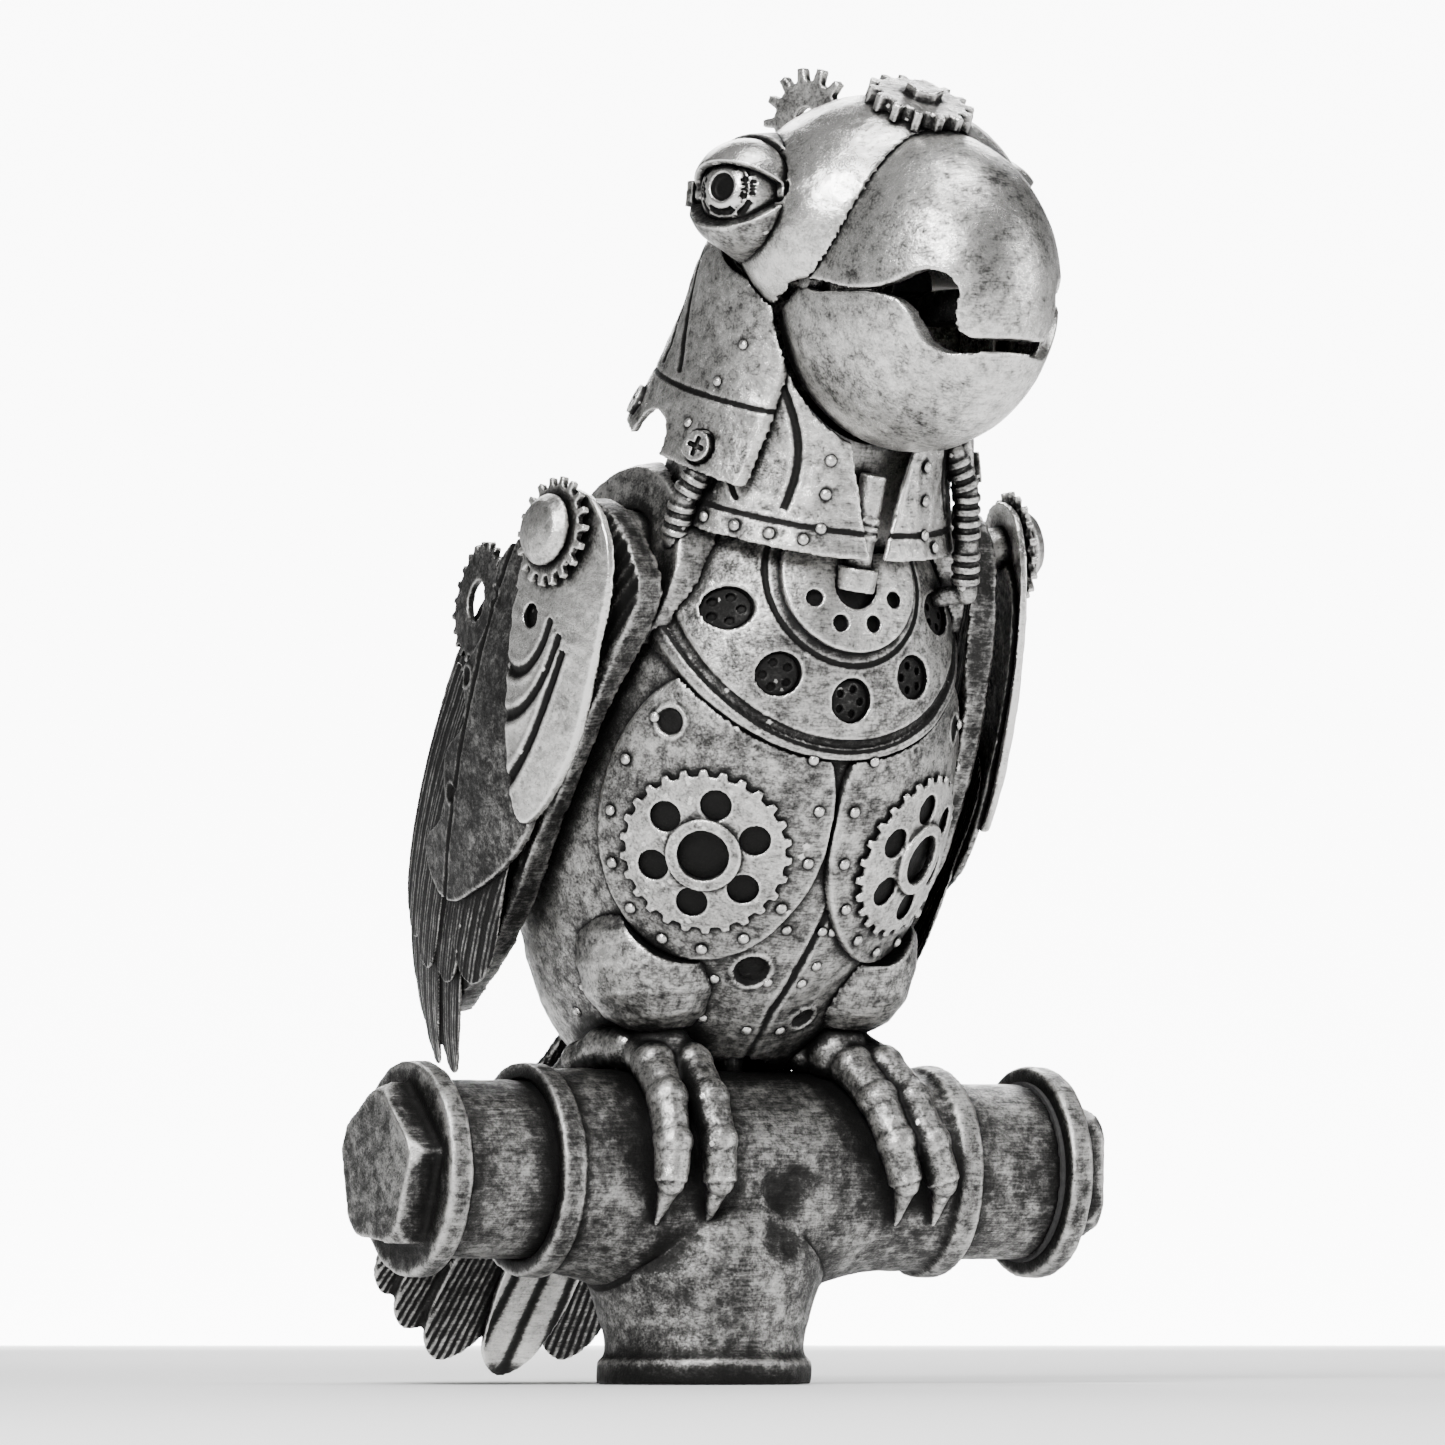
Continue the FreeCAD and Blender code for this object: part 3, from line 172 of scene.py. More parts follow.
SILVER = antique("antique_silver", cover=0.50, patch=0.50, rough=0.25)
BRIGHT = antique("rubbed_silver", bright=0.90, cover=0.30, patch=0.36, rough=0.22, pits=0.10)
# Partly painted highlight: the beak's higher brightness stands in for the big highlight on its top, while its
# lighter, blotchier wash is its own sparser dark patches.
BEAK_PAINTED_HIGHLIGHT = antique("beak_silver_painted_highlight", bright=0.90, cover=0.38, patch=0.62, rough=0.24, pits=0.10)
# Painted light: the neck and the hood share the silver of the rest, and this brighter copy with less wash
# stands in for light on them where they lie in shade under the beak.
NECK_PAINTED_LIGHT = antique("neck_silver_painted_light", bright=0.86, cover=0.39, patch=0.56, reach=4.0, rough=0.24)
DARK = antique("dark_silver", bright=0.50, cover=0.84, patch=0.5)
FEATHER = antique("feather_silver", bright=0.66, cover=0.62, patch=0.5, reach=3.0, rough=0.26)
GEAR = antique("gear_silver", bright=0.84, cover=0.42, patch=0.4, reach=2.5, rough=0.25)
IRON = antique("pipe_silver", bright=0.66, cover=0.56, patch=0.58, reach=8.0, rough=0.28, pits=0.2,
               brushed=0.12)
RUBBER = rubber("rubber", (0.03, 0.03, 0.03), 0.75, 0.8)

SLOT_LOOK = {"silver": SILVER, "dark_silver": DARK, "feather_silver": FEATHER, "gear_silver": GEAR,
             "fastener": GEAR, "hose": SILVER, "eye": BRIGHT, "iron": IRON, "gasket": RUBBER}


def look(obj, material):
    obj.data.materials.clear()
    obj.data.materials.append(material)


for name, slot in SLOTS.items():
    for place in NODES[name].material_slots:
        place.material = SLOT_LOOK[slot]


# ---- casting ------------------------------------------------------------------------------
LATTICE = 32    # random values along each side of the noise table, which then repeats
# Layers of unevenness, each with its share of the dents' size and of their depth.
DENTS = ((1.0, 0.9), (0.42, 0.55), (0.17, 0.28))
SUNK = 0.2      # share of the dents' depth by which the whole surface lies lower


def lattice_noise(points, size, seed):
    """Smooth noise between -1 and 1 with bumps about size across; points is an array in mm."""
    table = np.random.default_rng(seed).uniform(-1, 1, (LATTICE,) * 3).astype(np.float32)
    at = points / size
    base = np.floor(at).astype(np.int64)
    t = (at - base).astype(np.float32)
    t = t * t * (3 - 2 * t)
    total = np.zeros(len(points), np.float32)
    for corner in range(8):
        step = np.array([corner & 1, corner >> 1 & 1, corner >> 2 & 1])
        cell = (base + step) % LATTICE
        weight = np.prod(np.where(step == 1, t, 1 - t), axis=1)
        total += weight * table[cell[:, 0], cell[:, 1], cell[:, 2]]
    return total


def hammered(points, depth, size, seed):
    """Uneven hand-worked surface: broad dents, smaller ones and fine unevenness."""
    layers = (weight * lattice_noise(points, size * share, seed + i) for i, (share, weight) in enumerate(DENTS))
    return depth * (sum(layers) - SUNK)


def surface(detail, depth, size, seed):
    """Uneven cast surface, with engraved or raised details where there are any.

    detail returns its push along the normals in mm, and its dark wash.
    """
    def shape(points, normals):
        push, wash = detail(points, normals) if detail else (0, np.zeros(len(points)))
        return hammered(points, depth, size, seed) + push, wash
    return shape


def new_object(name, points, faces):
    mesh = bpy.data.meshes.new(name)
    mesh.from_pydata(points, [], faces)
    obj = bpy.data.objects.new(name, mesh)
    bpy.context.scene.collection.objects.link(obj)
    return obj


def node_mesh(node):
    """Points, in metres, and faces of a CAD node."""
    mesh = NODES[node].data
    return [tuple(v.co) for v in mesh.vertices], [tuple(polygon.vertices) for polygon in mesh.polygons]


def apply_modifiers(obj):
    """Replaces an object's mesh with what its modifiers make of it."""
    graph = bpy.context.evaluated_depsgraph_get()
    mesh = bpy.data.meshes.new_from_object(obj.evaluated_get(graph))
    obj.modifiers.clear()
    obj.data = mesh


def drop_crumbs(mesh):
    """Deletes the loose scraps of a few faces that remeshing leaves inside thin walls."""
    ends = np.empty(len(mesh.edges) * 2, np.int32)
    mesh.edges.foreach_get("vertices", ends)
    one, other = ends.reshape(-1, 2).T
    label = np.arange(len(mesh.vertices))
    for _ in range(CRUMB_STEPS):
        least = np.minimum(label[one], label[other])
        np.minimum.at(label, one, least)
        np.minimum.at(label, other, least)
    loose = np.bincount(label, minlength=len(label)) <= CRUMB_SIZE
    crossing = label[one] != label[other]
    loose[label[one[crossing]]] = False
    loose[label[other[crossing]]] = False
    scraps = np.flatnonzero(loose[label])
    if len(scraps):
        whole = bmesh.new()
        whole.from_mesh(mesh)
        whole.verts.ensure_lookup_table()
        bmesh.ops.delete(whole, geom=[whole.verts[i] for i in scraps], context="VERTS")
        whole.to_mesh(mesh)
        whole.free()


def mesh_arrays(mesh):
    """Vertex positions in mm and their normals."""
    points = np.empty(len(mesh.vertices) * 3, np.float32)
    mesh.vertices.foreach_get("co", points)
    normals = np.empty(len(mesh.vertices) * 3, np.float32)
    mesh.vertex_normals.foreach_get("vector", normals)
    return points.reshape(-1, 3) * PER_METRE, normals.reshape(-1, 3)


def cast(node, voxel, soften, shape, material):
    """A cast copy of a CAD node: rounded edges and an uneven surface, in place of the machined ones."""
    obj = new_object(node + "_cast", *node_mesh(node))
    remesh = obj.modifiers.new("remesh", "REMESH")
    remesh.mode, remesh.voxel_size, remesh.adaptivity = "VOXEL", voxel * MM, 0.0
    smooth = obj.modifiers.new("smooth", "SMOOTH")
    smooth.factor, smooth.iterations = 0.5, soften
    apply_modifiers(obj)
    drop_crumbs(obj.data)
    points, normals = mesh_arrays(obj.data)
    push, wash = shape(points, normals)
    points += normals * push[:, None]
    obj.data.vertices.foreach_set("co", (points / PER_METRE).ravel())
    stain = obj.data.attributes.new("wash", "FLOAT", "POINT")
    stain.data.foreach_set("value", np.ascontiguousarray(wash, np.float32))
    obj.data.shade_smooth()
    obj.data.update()
    look(obj, material)
    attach(obj, BODIES[node])
    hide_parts(node)
    return obj


# ---- engraving: every effect is a push along the normals in mm, and a dark wash ------------
SOFT_EDGE = 0.16    # mm over which a hole's edge fades
LIP_SHARE = 0.22    # of a groove's depth, the height of the lips beside it


def line_distance(points, line):
    """Distance in mm from each point to a line through the given corners."""
    best = np.full(len(points), np.inf)
    for start, end in zip(line, line[1:]):
        start, along = np.array(start, float), np.subtract(end, start).astype(float)
        share = np.clip((points - start) @ along / (along @ along), 0, 1)
        best = np.minimum(best, np.linalg.norm(points - start - share[:, None] * along, axis=1))
    return best


def band(distance, middle, width):
    """1 at the middle distance, and nearly 0 more than twice the width from it."""
    return np.exp(-((distance - middle) / width) ** 2)


def cut_line(distance, width, depth):
    """An engraved line: a narrow groove between two slightly raised lips."""
    inside = band(distance, 0.0, width)
    return LIP_SHARE * depth * band(distance, 2.0 * width, 0.8 * width) - depth * inside, 1.1 * inside


def inside_of(distance, radius):
    """1 within a radius and 0 beyond it, with a soft edge."""
    return 1 / (1 + np.exp(np.clip((distance - radius) / SOFT_EDGE, -40, 40)))


def pit(points, centre, radius, depth, rim):
    """A round hole with a raised rim."""
    distance = np.linalg.norm(points - np.array(centre, float), axis=1)
    inside = inside_of(distance, radius)
    return rim * band(distance, radius + 0.9, 0.5) - depth * inside, 1.6 * inside


def both(*effects):
    return sum(effect[0] for effect in effects), sum(effect[1] for effect in effects)


# ---- the bird's own axes, as in the CAD: it stands at BIRD_X and leans forward by LEAN ------
BIRD_X, LEAN = 6.5, math.radians(28.9)
UP_TRUNK = np.array((0, -math.sin(LEAN), math.cos(LEAN)))
BACKWARD = np.array((0, math.cos(LEAN), math.sin(LEAN)))
TRUNK_CENTRE, WING_CENTRE = np.array((BIRD_X, -2.0, 143.0)), np.array((BIRD_X, 3.0, 150.0))
TAIL_BASE, TAIL_TIP = np.array((BIRD_X, 22.0, 104.0)), np.array((BIRD_X, 117.0, 2.0))
NECK_LOW, NECK_HIGH = np.array((6.5, -33.0, 192.0)), np.array((9.0, -52.0, 256.0))
NECK_AXIS = (NECK_HIGH - NECK_LOW) / np.linalg.norm(NECK_HIGH - NECK_LOW)
BIB_CENTRE = np.array((BIRD_X, -61.0, 189.0))
WHEEL_CENTRE = np.array((-20.7, -40.4, 125.8))      # of the left breast wheel
EYES = {"left": ((-26.5, -72.34, 278.0), (-0.8866, -0.4517, 0.0995)),       # centre and gaze
        "right": ((44.41, -59.84, 278.0), (0.9876, -0.1213, 0.0995))}
RUN_Z, TEE_RADIUS, FILLET = 51.0, 24.0, 24.0        # of the pipe tee: its run, outside and fillets


def along_trunk(points, centre):
    """Backward and upward coordinates in the leaning frame, and the side distance from the middle."""
    away = points - centre
    return away @ BACKWARD, away @ UP_TRUNK, away[:, 0]


def round_neck(points):
    """Height along the neck's axis, and the angle round it in degrees, 0 in front."""
    away = points - NECK_LOW
    return away @ NECK_AXIS, np.degrees(np.arctan2(away[:, 0], -away[:, 1]))


def on_left(points, side):
    """Points of the right half, side 1, mirrored onto the left half; those of side -1 as they are."""
    if side < 0:
        return points
    turned = points.copy()
    turned[:, 0] = 2 * BIRD_X - turned[:, 0]
    return turned


# ---- details of the nodes -----------------------------------------------------------------
FAR = 20.0      # mm added to the distance from a line where it isn't cut
SEAMS = (((-18, -31, 107), (-19, -24, 101), (-18, -18, 93), (-14, -10, 84)),
         ((12, -43, 115), (9, -34, 101), (6, -23, 89), (6, -7, 76)),
         ((34, -24, 110), (33, -15, 101), (30, -8, 92), (27, 2, 86)),
         ((-36, -18, 108), (-37, -8, 100), (-35, 4, 92), (-28, 14, 84)))
VENT, VENT_RADIUS = (-3, -30, 98), 3.9      # a hole under the breast with a rough bottom
BACK_RINGS = (-30, 4, 38)                   # heights of the seams round the back


def trunk_detail(points, _):
    effects = [cut_line(line_distance(points, seam), 0.75, 0.8) for seam in SEAMS]
    effects += [pit(points, VENT, VENT_RADIUS, 1.3, 0.5), pit(points, (16, -20, 87), 2.6, 1.0, 0.6)]
    back, up, side = along_trunk(points, TRUNK_CENTRE)
    for height in BACK_RINGS:
        ring = np.abs(up - height - 0.06 * side) + np.where(back < 12, FAR, 0)
        effects.append(cut_line(ring, 0.7, 0.6))
    push, wash = both(*effects)
    in_vent = np.linalg.norm(points - np.array(VENT, float), axis=1) < VENT_RADIUS - 0.5
    lumps = in_vent & (lattice_noise(points, 1.7, 77) > 0.1)
    return push + np.where(lumps, 0.6, 0), wash - np.where(lumps, 0.8, 0)


def breast_detail(side):
    """Two holes, and a sunk dark bed behind the wheel."""
    def detail(points, _):
        here = on_left(points, side)
        bed = inside_of(np.linalg.norm(here - WHEEL_CENTRE, axis=1), 18.0)
        return both(pit(here, (-30, -42, 156), 3.4, 1.2, 0.3), pit(here, (-14, -54, 150), 1.1, 0.5, 0.15),
                    (-0.2 * bed, 1.5 * bed))
    return detail


def feather_detail(pitch, depth):
    """Barbs: fine ridges along the feathers, deeper at every third."""
    def detail(points, normals):
        back, up, _ = along_trunk(points, WING_CENTRE)
        outward = np.abs(normals @ np.array((1.0, 0, 0)))
        across = back + 0.15 * up + 0.25 * lattice_noise(points, 6.0, 31)
        fine = 0.5 + 0.5 * np.cos(across * TURN / pitch)
        coarse = 0.5 + 0.5 * np.cos(across * TURN / (pitch * 3.1))
        ridge = np.clip(fine ** 3 * 0.6 + coarse ** 5 * 0.8, 0, 1) * np.clip(outward * 2 - 0.5, 0, 1)
        return -depth * ridge, 0.75 * ridge
    return detail


COVER_RIDGES = ((38, 8.5, 13), (36, 12.5, 22), (33, 15.0, 40))      # top, half width and drop in mm


def cover_detail(side):
    """Long plate on the wing: a hole, and U-shaped ridges hanging below it."""
    def detail(points, _):
        here = on_left(points, side)
        back, up, _ = along_trunk(here, WING_CENTRE)
        effects = [pit(here, (-51, -21, 181), 2.9, 0.6, 0.7)]
        for top, half, drop in COVER_RIDGES:
            across, down = back + 6 + 0.05 * (38 - up), np.clip(top - up, 0, None)
            reach = np.sqrt((across / half) ** 2 + (down / drop) ** 2)
            away = np.abs(reach - 1) * half + np.where(up > top + 4, FAR, 0)
            effects.append(cut_line(away, 0.8, 0.75))
        return both(*effects)
    return detail


UNDER_HOLES = ((15, 34), (16, 12), (10, -16), (4, 46))      # backward and upward places


def under_detail(side):
    """Middle layer of the wing: a groove inside its ragged edge and a few bolt holes."""
    def detail(points, _):
        back, up, _ = along_trunk(on_left(points, side), WING_CENTRE)
        effects = [cut_line(np.abs(back - 10 - 0.12 * up), 0.7, 0.5)]
        for hole_back, hole_up in UNDER_HOLES:
            away = np.hypot(back - hole_back, up - hole_up)
            inside = inside_of(away, 1.8)
            effects.append((0.3 * band(away, 2.7, 0.5) - 0.8 * inside, 1.5 * inside))
        return both(*effects)
    return detail


def tail_detail(depth, pitch):
    """Ridges that fan out along the tail."""
    def detail(points, normals):
        along = TAIL_TIP - TAIL_BASE
        share = np.clip((points - TAIL_BASE) @ along / (along @ along), 0.15, 1)
        across = (points[:, 0] - BIRD_X) / (0.45 + 0.55 * share)
        ridge = (0.5 + 0.5 * np.cos(across * TURN / pitch)) ** 4
        facing = np.clip(np.abs(normals @ np.array((0, 0.73, 0.68))) * 2 - 0.8, 0, 1)
        return -depth * ridge * facing, 0.8 * ridge * facing
    return detail


# Thumb-sized dents in the front of the tee: centre, radius and depth.
TEE_DENTS = (((10.7, -24, 47), 6.5, 1.5), ((8.0, -24, 34.5), 5.5, 1.3), ((-17, -14, 33), 7, 0.8))


def tee_detail(points, _):
    """Cast fillets between run and branch, and the dents in front."""
    run = np.hypot(points[:, 1], points[:, 2] - RUN_Z) - TEE_RADIUS
    branch = np.hypot(points[:, 0], points[:, 1]) - TEE_RADIUS
    near = np.clip(1 - np.abs(run - branch) / FILLET, 0, 1)
    outside = np.minimum(run, branch) > -1.2
    height = np.clip((42 - points[:, 2]) / 16, 0, 1) * np.clip((points[:, 2] - 9) / 6, 0, 1)
    push = near ** 2 * FILLET / 4 * outside * height
    wash = np.zeros(len(points))
    for centre, radius, depth in TEE_DENTS:
        inside = np.exp(-(np.linalg.norm(points - np.array(centre, float), axis=1) / radius) ** 4)
        push -= depth * inside
        wash += 0.25 * inside
    return push, wash


def eye_detail(name):
    """Pupil hole, then an iris ring with cog-shaped notches, round the eye's own axis."""
    centre, gaze = (np.array(v, float) for v in EYES[name])

    def detail(points, _):
        away = points - centre
        height = away @ gaze
        flat = away - height[:, None] * gaze
        radius = np.linalg.norm(flat, axis=1)
        angle = np.arctan2(flat[:, 2], flat[:, 0] + flat[:, 1] * 0.3)
        front = height > 0
        pupil = front * inside_of(radius, 3.1)
        ring = front * band(radius, 6.6 + 0.75 * np.sign(np.sin(angle * 12)), 0.55)
        return -1.5 * pupil - 0.75 * ring, 1.8 * pupil + 1.3 * ring
    return detail


# Creases on the neck and the hood: the angle where each starts, and how far it sways, in degrees.
NECK_CREASES = ((-64, 9), (-47, -8), (-33, 7), (44, -8), (60, 8), (80, -6))
CAPE_CREASES = ((-150, 12), (-122, -10), (-96, 9), (-70, -6), (70, 6), (96, -9), (122, 10), (150, -12))


def creases(up, angle, lines, foot, wave, ends, degree, width, depth):
    """Lines that sway up the neck between two heights; degree is the mm in one degree round it."""
    effects = []
    for start, sway in lines:
        middle = start + sway * np.sin((up - foot) / wave)
        gap = np.abs(angle - middle) * degree + np.where((up < ends[0]) | (up > ends[1]), FAR, 0)
        effects.append(cut_line(gap, width, depth))
    return effects


def neck_detail(points, _):
    """Long leaf-shaped creases up the neck, and a line above its rim."""
    up, angle = round_neck(points)
    return both(cut_line(np.abs(up - 18.0), 0.5, 0.3),
                *creases(up, angle, NECK_CREASES, 18, 34 / math.pi, (21, 50), 0.58, 0.7, 0.55))


def cape_detail(points, _):
    """Creases that sweep down the hood, and a line inside its scalloped edge."""
    up, angle = round_neck(points)
    return both(cut_line(np.abs(up - 43.0), 0.5, 0.3),
                *creases(up, angle, CAPE_CREASES, 30, 22.0, (46, 74), 0.6, 0.8, 0.5))


def bib_detail(points, _):
    """Lines beside the rims of the bib, and a dark bed behind its cap."""
    away = points - BIB_CENTRE
    radius = np.hypot(away[:, 0], away[:, 2])
    bed = inside_of(radius, 15.0)
    return both(cut_line(np.abs(radius - 20.2), 0.5, 0.35), cut_line(np.abs(radius - 40.3), 0.45, 0.3),
                (-0.1 * bed, 1.3 * bed))


DETAILS = {"trunk_shell": trunk_detail, "pipe_tee": tee_detail, "neck_shell": neck_detail,
           "neck_cape": cape_detail, "bib_plate": bib_detail, "tail_center": tail_detail(0.3, 9.0),
           "tail_left": tail_detail(0.4, 2.2), "tail_right": tail_detail(0.4, 2.2)}
for name, side in (("left", -1), ("right", 1)):
    DETAILS["breast_plate_" + name] = breast_detail(side)
    DETAILS["wing_cover_" + name] = cover_detail(side)
    DETAILS["wing_under_" + name] = under_detail(side)
    DETAILS["secondaries_" + name] = feather_detail(1.5, 0.22)
    DETAILS["primaries_" + name] = feather_detail(1.7, 0.26)
    DETAILS["wing_base_" + name] = feather_detail(2.6, 0.3)
    DETAILS["eyeball_" + name] = eye_detail(name)
# Nodes that look unlike the rest of their slot. The neck and the hood get a brighter silver with less wash as
# painted light, making up for the shade they lie in under the beak; the beaks get a brighter silver that is
# partly a painted highlight.
LOOKS = {"upper_beak": BEAK_PAINTED_HIGHLIGHT, "lower_beak": BEAK_PAINTED_HIGHLIGHT, "neck_shell": NECK_PAINTED_LIGHT, "neck_cape": NECK_PAINTED_LIGHT,
         "wing_cover_left": BRIGHT, "wing_cover_right": BRIGHT, "eyelid_left": BRIGHT,
         "eyelid_right": BRIGHT, "skull": BRIGHT, "bib_inserts": DARK, "tail_center": BRIGHT}

# Nodes that are cast: voxel in mm, rounds of softening, depth and size of the dents in mm. A * stands for
# left and then right. A node's place in this order seeds its dents.
COARSE = 1.0
CASTS = (
    ("pipe_tee", 0.8, 9, 0.30, 11.0), ("nipple_*", 0.8, 2, 0.12, 6.0), ("cap_*", 0.7, 3, 0.22, 7.0),
    ("trunk_shell", 0.8, 3, 0.32, 9.0), ("breast_plate_*", 0.5, 3, 0.22, 8.0),
    ("bib_plate", 0.45, 2, 0.14, 7.0), ("bib_cap", 0.4, 2, 0.1, 5.0), ("bib_inserts", 0.35, 1, 0.05, 3.0),
    ("breast_gear_*", 0.35, 2, 0.08, 5.0), ("neck_shell", 0.6, 3, 0.40, 9.0),
    ("neck_cape", 0.6, 3, 0.34, 9.0), ("shoulders", 0.7, 4, 0.3, 8.0), ("skull", 0.6, 3, 0.22, 8.0),
    ("upper_beak", 0.55, 4, 0.12, 9.0), ("lower_beak", 0.55, 4, 0.14, 9.0), ("tongue", 0.5, 4, 0.2, 5.0),
    ("crest_gear", 0.35, 2, 0.12, 4.0), ("head_cogs", 0.35, 2, 0.12, 4.0),
    ("eye_socket_*", 0.4, 4, 0.14, 5.0), ("eyelid_*", 0.35, 3, 0.10, 5.0), ("eyeball_*", 0.4, 2, 0.05, 4.0),
    ("wing_base_*", 0.7, 3, 0.25, 7.0), ("wing_under_*", 0.42, 3, 0.22, 6.0),
    ("wing_cover_*", 0.42, 3, 0.20, 7.0), ("secondaries_*", 0.32, 1, 0.05, 4.0),
    ("primaries_*", 0.32, 1, 0.05, 4.0), ("shoulder_gear_*", 0.35, 2, 0.1, 4.0),
    ("shoulder_bolt_*", 0.5, 3, 0.12, 5.0), ("back_plate", 0.55, 3, 0.25, 8.0),
    ("back_gear", 0.5, 2, 0.12, 5.0), ("tail_center", 0.5, 3, 0.15, 8.0), ("tail_*", 0.55, 2, 0.15, 8.0),
    ("thigh_*", 0.5, 5, 0.3, 7.0), ("foot_*", 0.42, 5, 0.16, 4.0), ("throat_rod", 0.4, 2, 0.06, 5.0),
    ("hose_*", 0.35, 2, 0.05, 4.0), ("fasteners", 0.28, 1, 0.0, 4.0),
)
ROWS = [(names.replace("*", side), numbers) for names, *numbers in CASTS
        for side in (("left", "right") if "*" in names else ("",))]
SOLIDS = {}
for place, (node, (voxel, soften, depth, size)) in enumerate(ROWS):
    shape = surface(DETAILS.get(node), depth, size, place * 5)
    SOLIDS[node] = cast(node, voxel * COARSE, soften, shape, LOOKS.get(node, SLOT_LOOK[SLOTS[node]]))


# ---- studs --------------------------------------------------------------------------------
SIDES, RINGS = 14, 5        # faces round a rivet head, and rings of points up it
SKIRT = 0.12                # mm that its foot is sunk below the surface


def dome(radius, rise, centre, normal):
    """Points and faces of a low round head, its skirt sunk a little below the surface."""
    turn = Vector(normal).to_track_quat("Z", "Y")
    points, faces = [], []
    for ring in range(RINGS):
        angle = math.pi / 2 * ring / (RINGS - 1)
        flat, up = radius * math.cos(angle) + 0.02, rise * math.sin(angle) - SKIRT
        for side in range(SIDES):
            around = TURN * side / SIDES
            points.append(centre + turn @ Vector((flat * math.cos(around), flat * math.sin(around), up)))
    for ring in range(RINGS - 1):
        for side in range(SIDES):
            low, after = ring * SIDES + side, ring * SIDES + (side + 1) % SIDES
            faces.append((low, after, after + SIDES, low + SIDES))
    faces.append(tuple(range((RINGS - 1) * SIDES, RINGS * SIDES)))
    faces.append(tuple(reversed(range(SIDES))))
    return [p * MM for p in points], faces


def studs(name, host, spots, radius=1.3, rise=0.95):
    """Rivet heads set on the nearest surface of a cast node; spots are rough places in mm."""
    points, faces = [], []
    for spot in spots:
        _, centre, normal, _ = SOLIDS[host].closest_point_on_mesh(Vector(spot) * MM)
        start = len(points)
        more, rims = dome(radius, rise, centre / MM, normal)
        points += more
        faces += [tuple(start + i for i in face) for face in rims]
    obj = new_object(name, points, faces)
    obj.data.shade_smooth()
    look(obj, GEAR)
    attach(obj, BODIES[host])


def row(start, end, count):
    return [tuple(a + (b - a) * i / (count - 1) for a, b in zip(start, end)) for i in range(count)]


def both_sides(spots):
    return spots + [(2 * BIRD_X - x, y, z) for x, y, z in spots]


studs("trunk_studs", "trunk_shell", both_sides(
    row((-38, -14, 104), (-30, 10, 88), 4) + row((-25, -28, 102), (-24, -12, 88), 3)
    + row((2, -40, 106), (2, -18, 84), 3) + row((-44, -12, 150), (-42, 0, 126), 4)))
studs("hood_studs", "neck_cape", both_sides(row((-27, -66, 244), (-31, -50, 226), 3)), 1.2, 0.9)
studs("belly_studs", "trunk_shell",
      row((15, -40, 106), (12, -24, 92), 3) + row((-13, -36, 103), (-10, -18, 86), 3))


# ---- camera, light and floor --------------------------------------------------------------
AZIMUTH = math.radians(-27.5)       # of the camera; 0 looks along +Y
AHEAD = Vector((-math.sin(AZIMUTH), math.cos(AZIMUTH), 0))
ASIDE = Vector((math.cos(AZIMUTH), math.sin(AZIMUTH), 0))
CAMERA_DISTANCE, CAMERA_HEIGHT = 3.0, 0.02
LENS, SENSOR = 313, 36              # mm
TARGET = ASIDE * 0.0044 + Vector((0, 0, 0.158))
LIT_SPOT = Vector((0, 0, 0.16))     # that the lamps face
LAMPS = (                           # name, place, size in metres, watts
    ("key", (-1.15, -1.35, 1.25), (0.6, 0.6), 58), ("top", (0.15, -0.5, 1.9), (1.0, 0.5), 20),
    ("strip", (1.5, -1.1, 0.5), (0.25, 1.3), 12), ("rim", (0.7, 1.4, 1.2), (1.2, 0.5), 24))
SKY = ((0.0, 0.55), (0.14, 0.42), (0.30, 0.12), (0.60, 0.08), (0.85, 0.22), (1.0, 0.22))
SCREEN_PLACE = AHEAD * 2.6 + Vector((0, 0, 0.36))
SCREEN_GLOW = 9.0
FLOOR_SIZE = 9


def aim(obj, sight, axis):
    """Turns an object so that one of its axes points along a sight line."""
    obj.rotation_mode = "QUATERNION"
    obj.rotation_quaternion = sight.to_track_quat(axis, "Y")


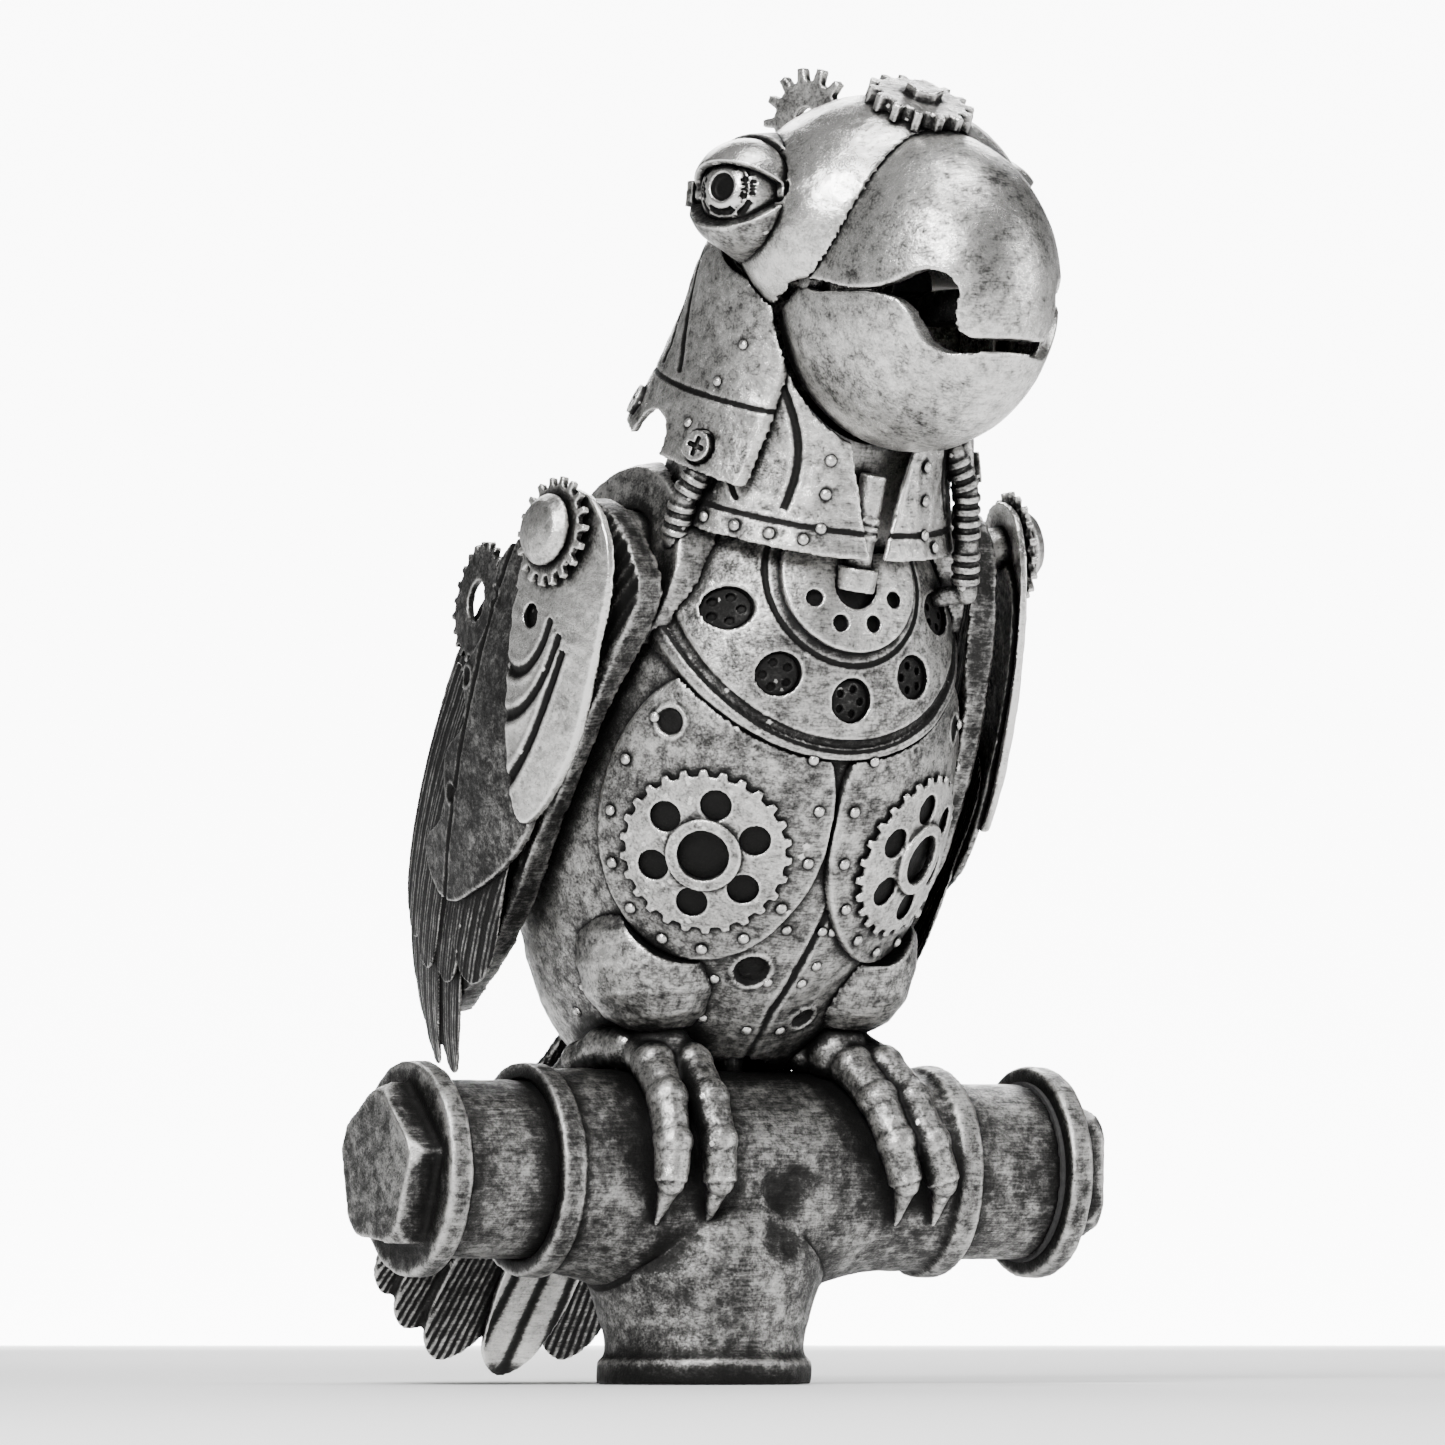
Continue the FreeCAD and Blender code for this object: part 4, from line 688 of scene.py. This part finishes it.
def add_camera():
    data = bpy.data.cameras.new("camera")
    data.lens, data.sensor_width = LENS, SENSOR
    data.clip_start, data.clip_end = 0.05, 50
    camera = bpy.data.objects.new("camera", data)
    bpy.context.scene.collection.objects.link(camera)
    camera.location = TARGET - AHEAD * CAMERA_DISTANCE
    camera.location.z = CAMERA_HEIGHT
    aim(camera, TARGET - camera.location, "-Z")
    bpy.context.scene.camera = camera


def add_lamp(name, place, size, power):
    data = bpy.data.lights.new(name, "AREA")
    data.energy, data.shape, data.size, data.size_y = power, "RECTANGLE", size[0], size[1]
    lamp = bpy.data.objects.new(name, data)
    bpy.context.scene.collection.objects.link(lamp)
    lamp.location = place
    aim(lamp, LIT_SPOT - Vector(place), "-Z")


def add_world():
    """Pale round the horizon, dim above it and below it, so that the metal keeps its contrast."""
    world = bpy.data.worlds.new("world")
    bpy.context.scene.world = world
    world.use_nodes = True
    tree = world.node_tree
    split = tree.nodes.new("ShaderNodeSeparateXYZ")
    tree.links.new(tree.nodes.new("ShaderNodeTexCoord").outputs["Generated"], split.inputs[0])
    height = tree.nodes.new("ShaderNodeMath")
    height.operation = "ABSOLUTE"
    tree.links.new(split.outputs["Z"], height.inputs[0])
    ramp = tree.nodes.new("ShaderNodeValToRGB")
    tree.links.new(height.outputs[0], ramp.inputs["Fac"])
    set_ramp(ramp.color_ramp, SKY)
    tree.links.new(ramp.outputs["Color"], tree.nodes["Background"].inputs["Color"])


def add_plane(name, size, place, facing, settings):
    """A plane of the stage; settings are its shader's inputs."""
    bpy.ops.mesh.primitive_plane_add(size=size, location=place)
    plane = bpy.context.object
    plane.name = name
    if facing:
        aim(plane, facing, "Z")
    g = Graph(name)
    for key, value in settings.items():
        g.shader.inputs[key].default_value = value
    plane.data.materials.append(g.material)


add_camera()
for lamp in LAMPS:
    add_lamp(*lamp)
add_world()
# A small lit screen, far enough behind the figure to leave its edges dark, and the floor.
add_plane("backdrop", 1.0, SCREEN_PLACE, AHEAD, {
    "Base Color": (0.9, 0.9, 0.9, 1), "Emission Color": (1, 1, 1, 1), "Emission Strength": SCREEN_GLOW})
add_plane("floor", FLOOR_SIZE, (0, 0, 0), None, {"Base Color": (0.93, 0.93, 0.93, 1), "Roughness": 0.9})
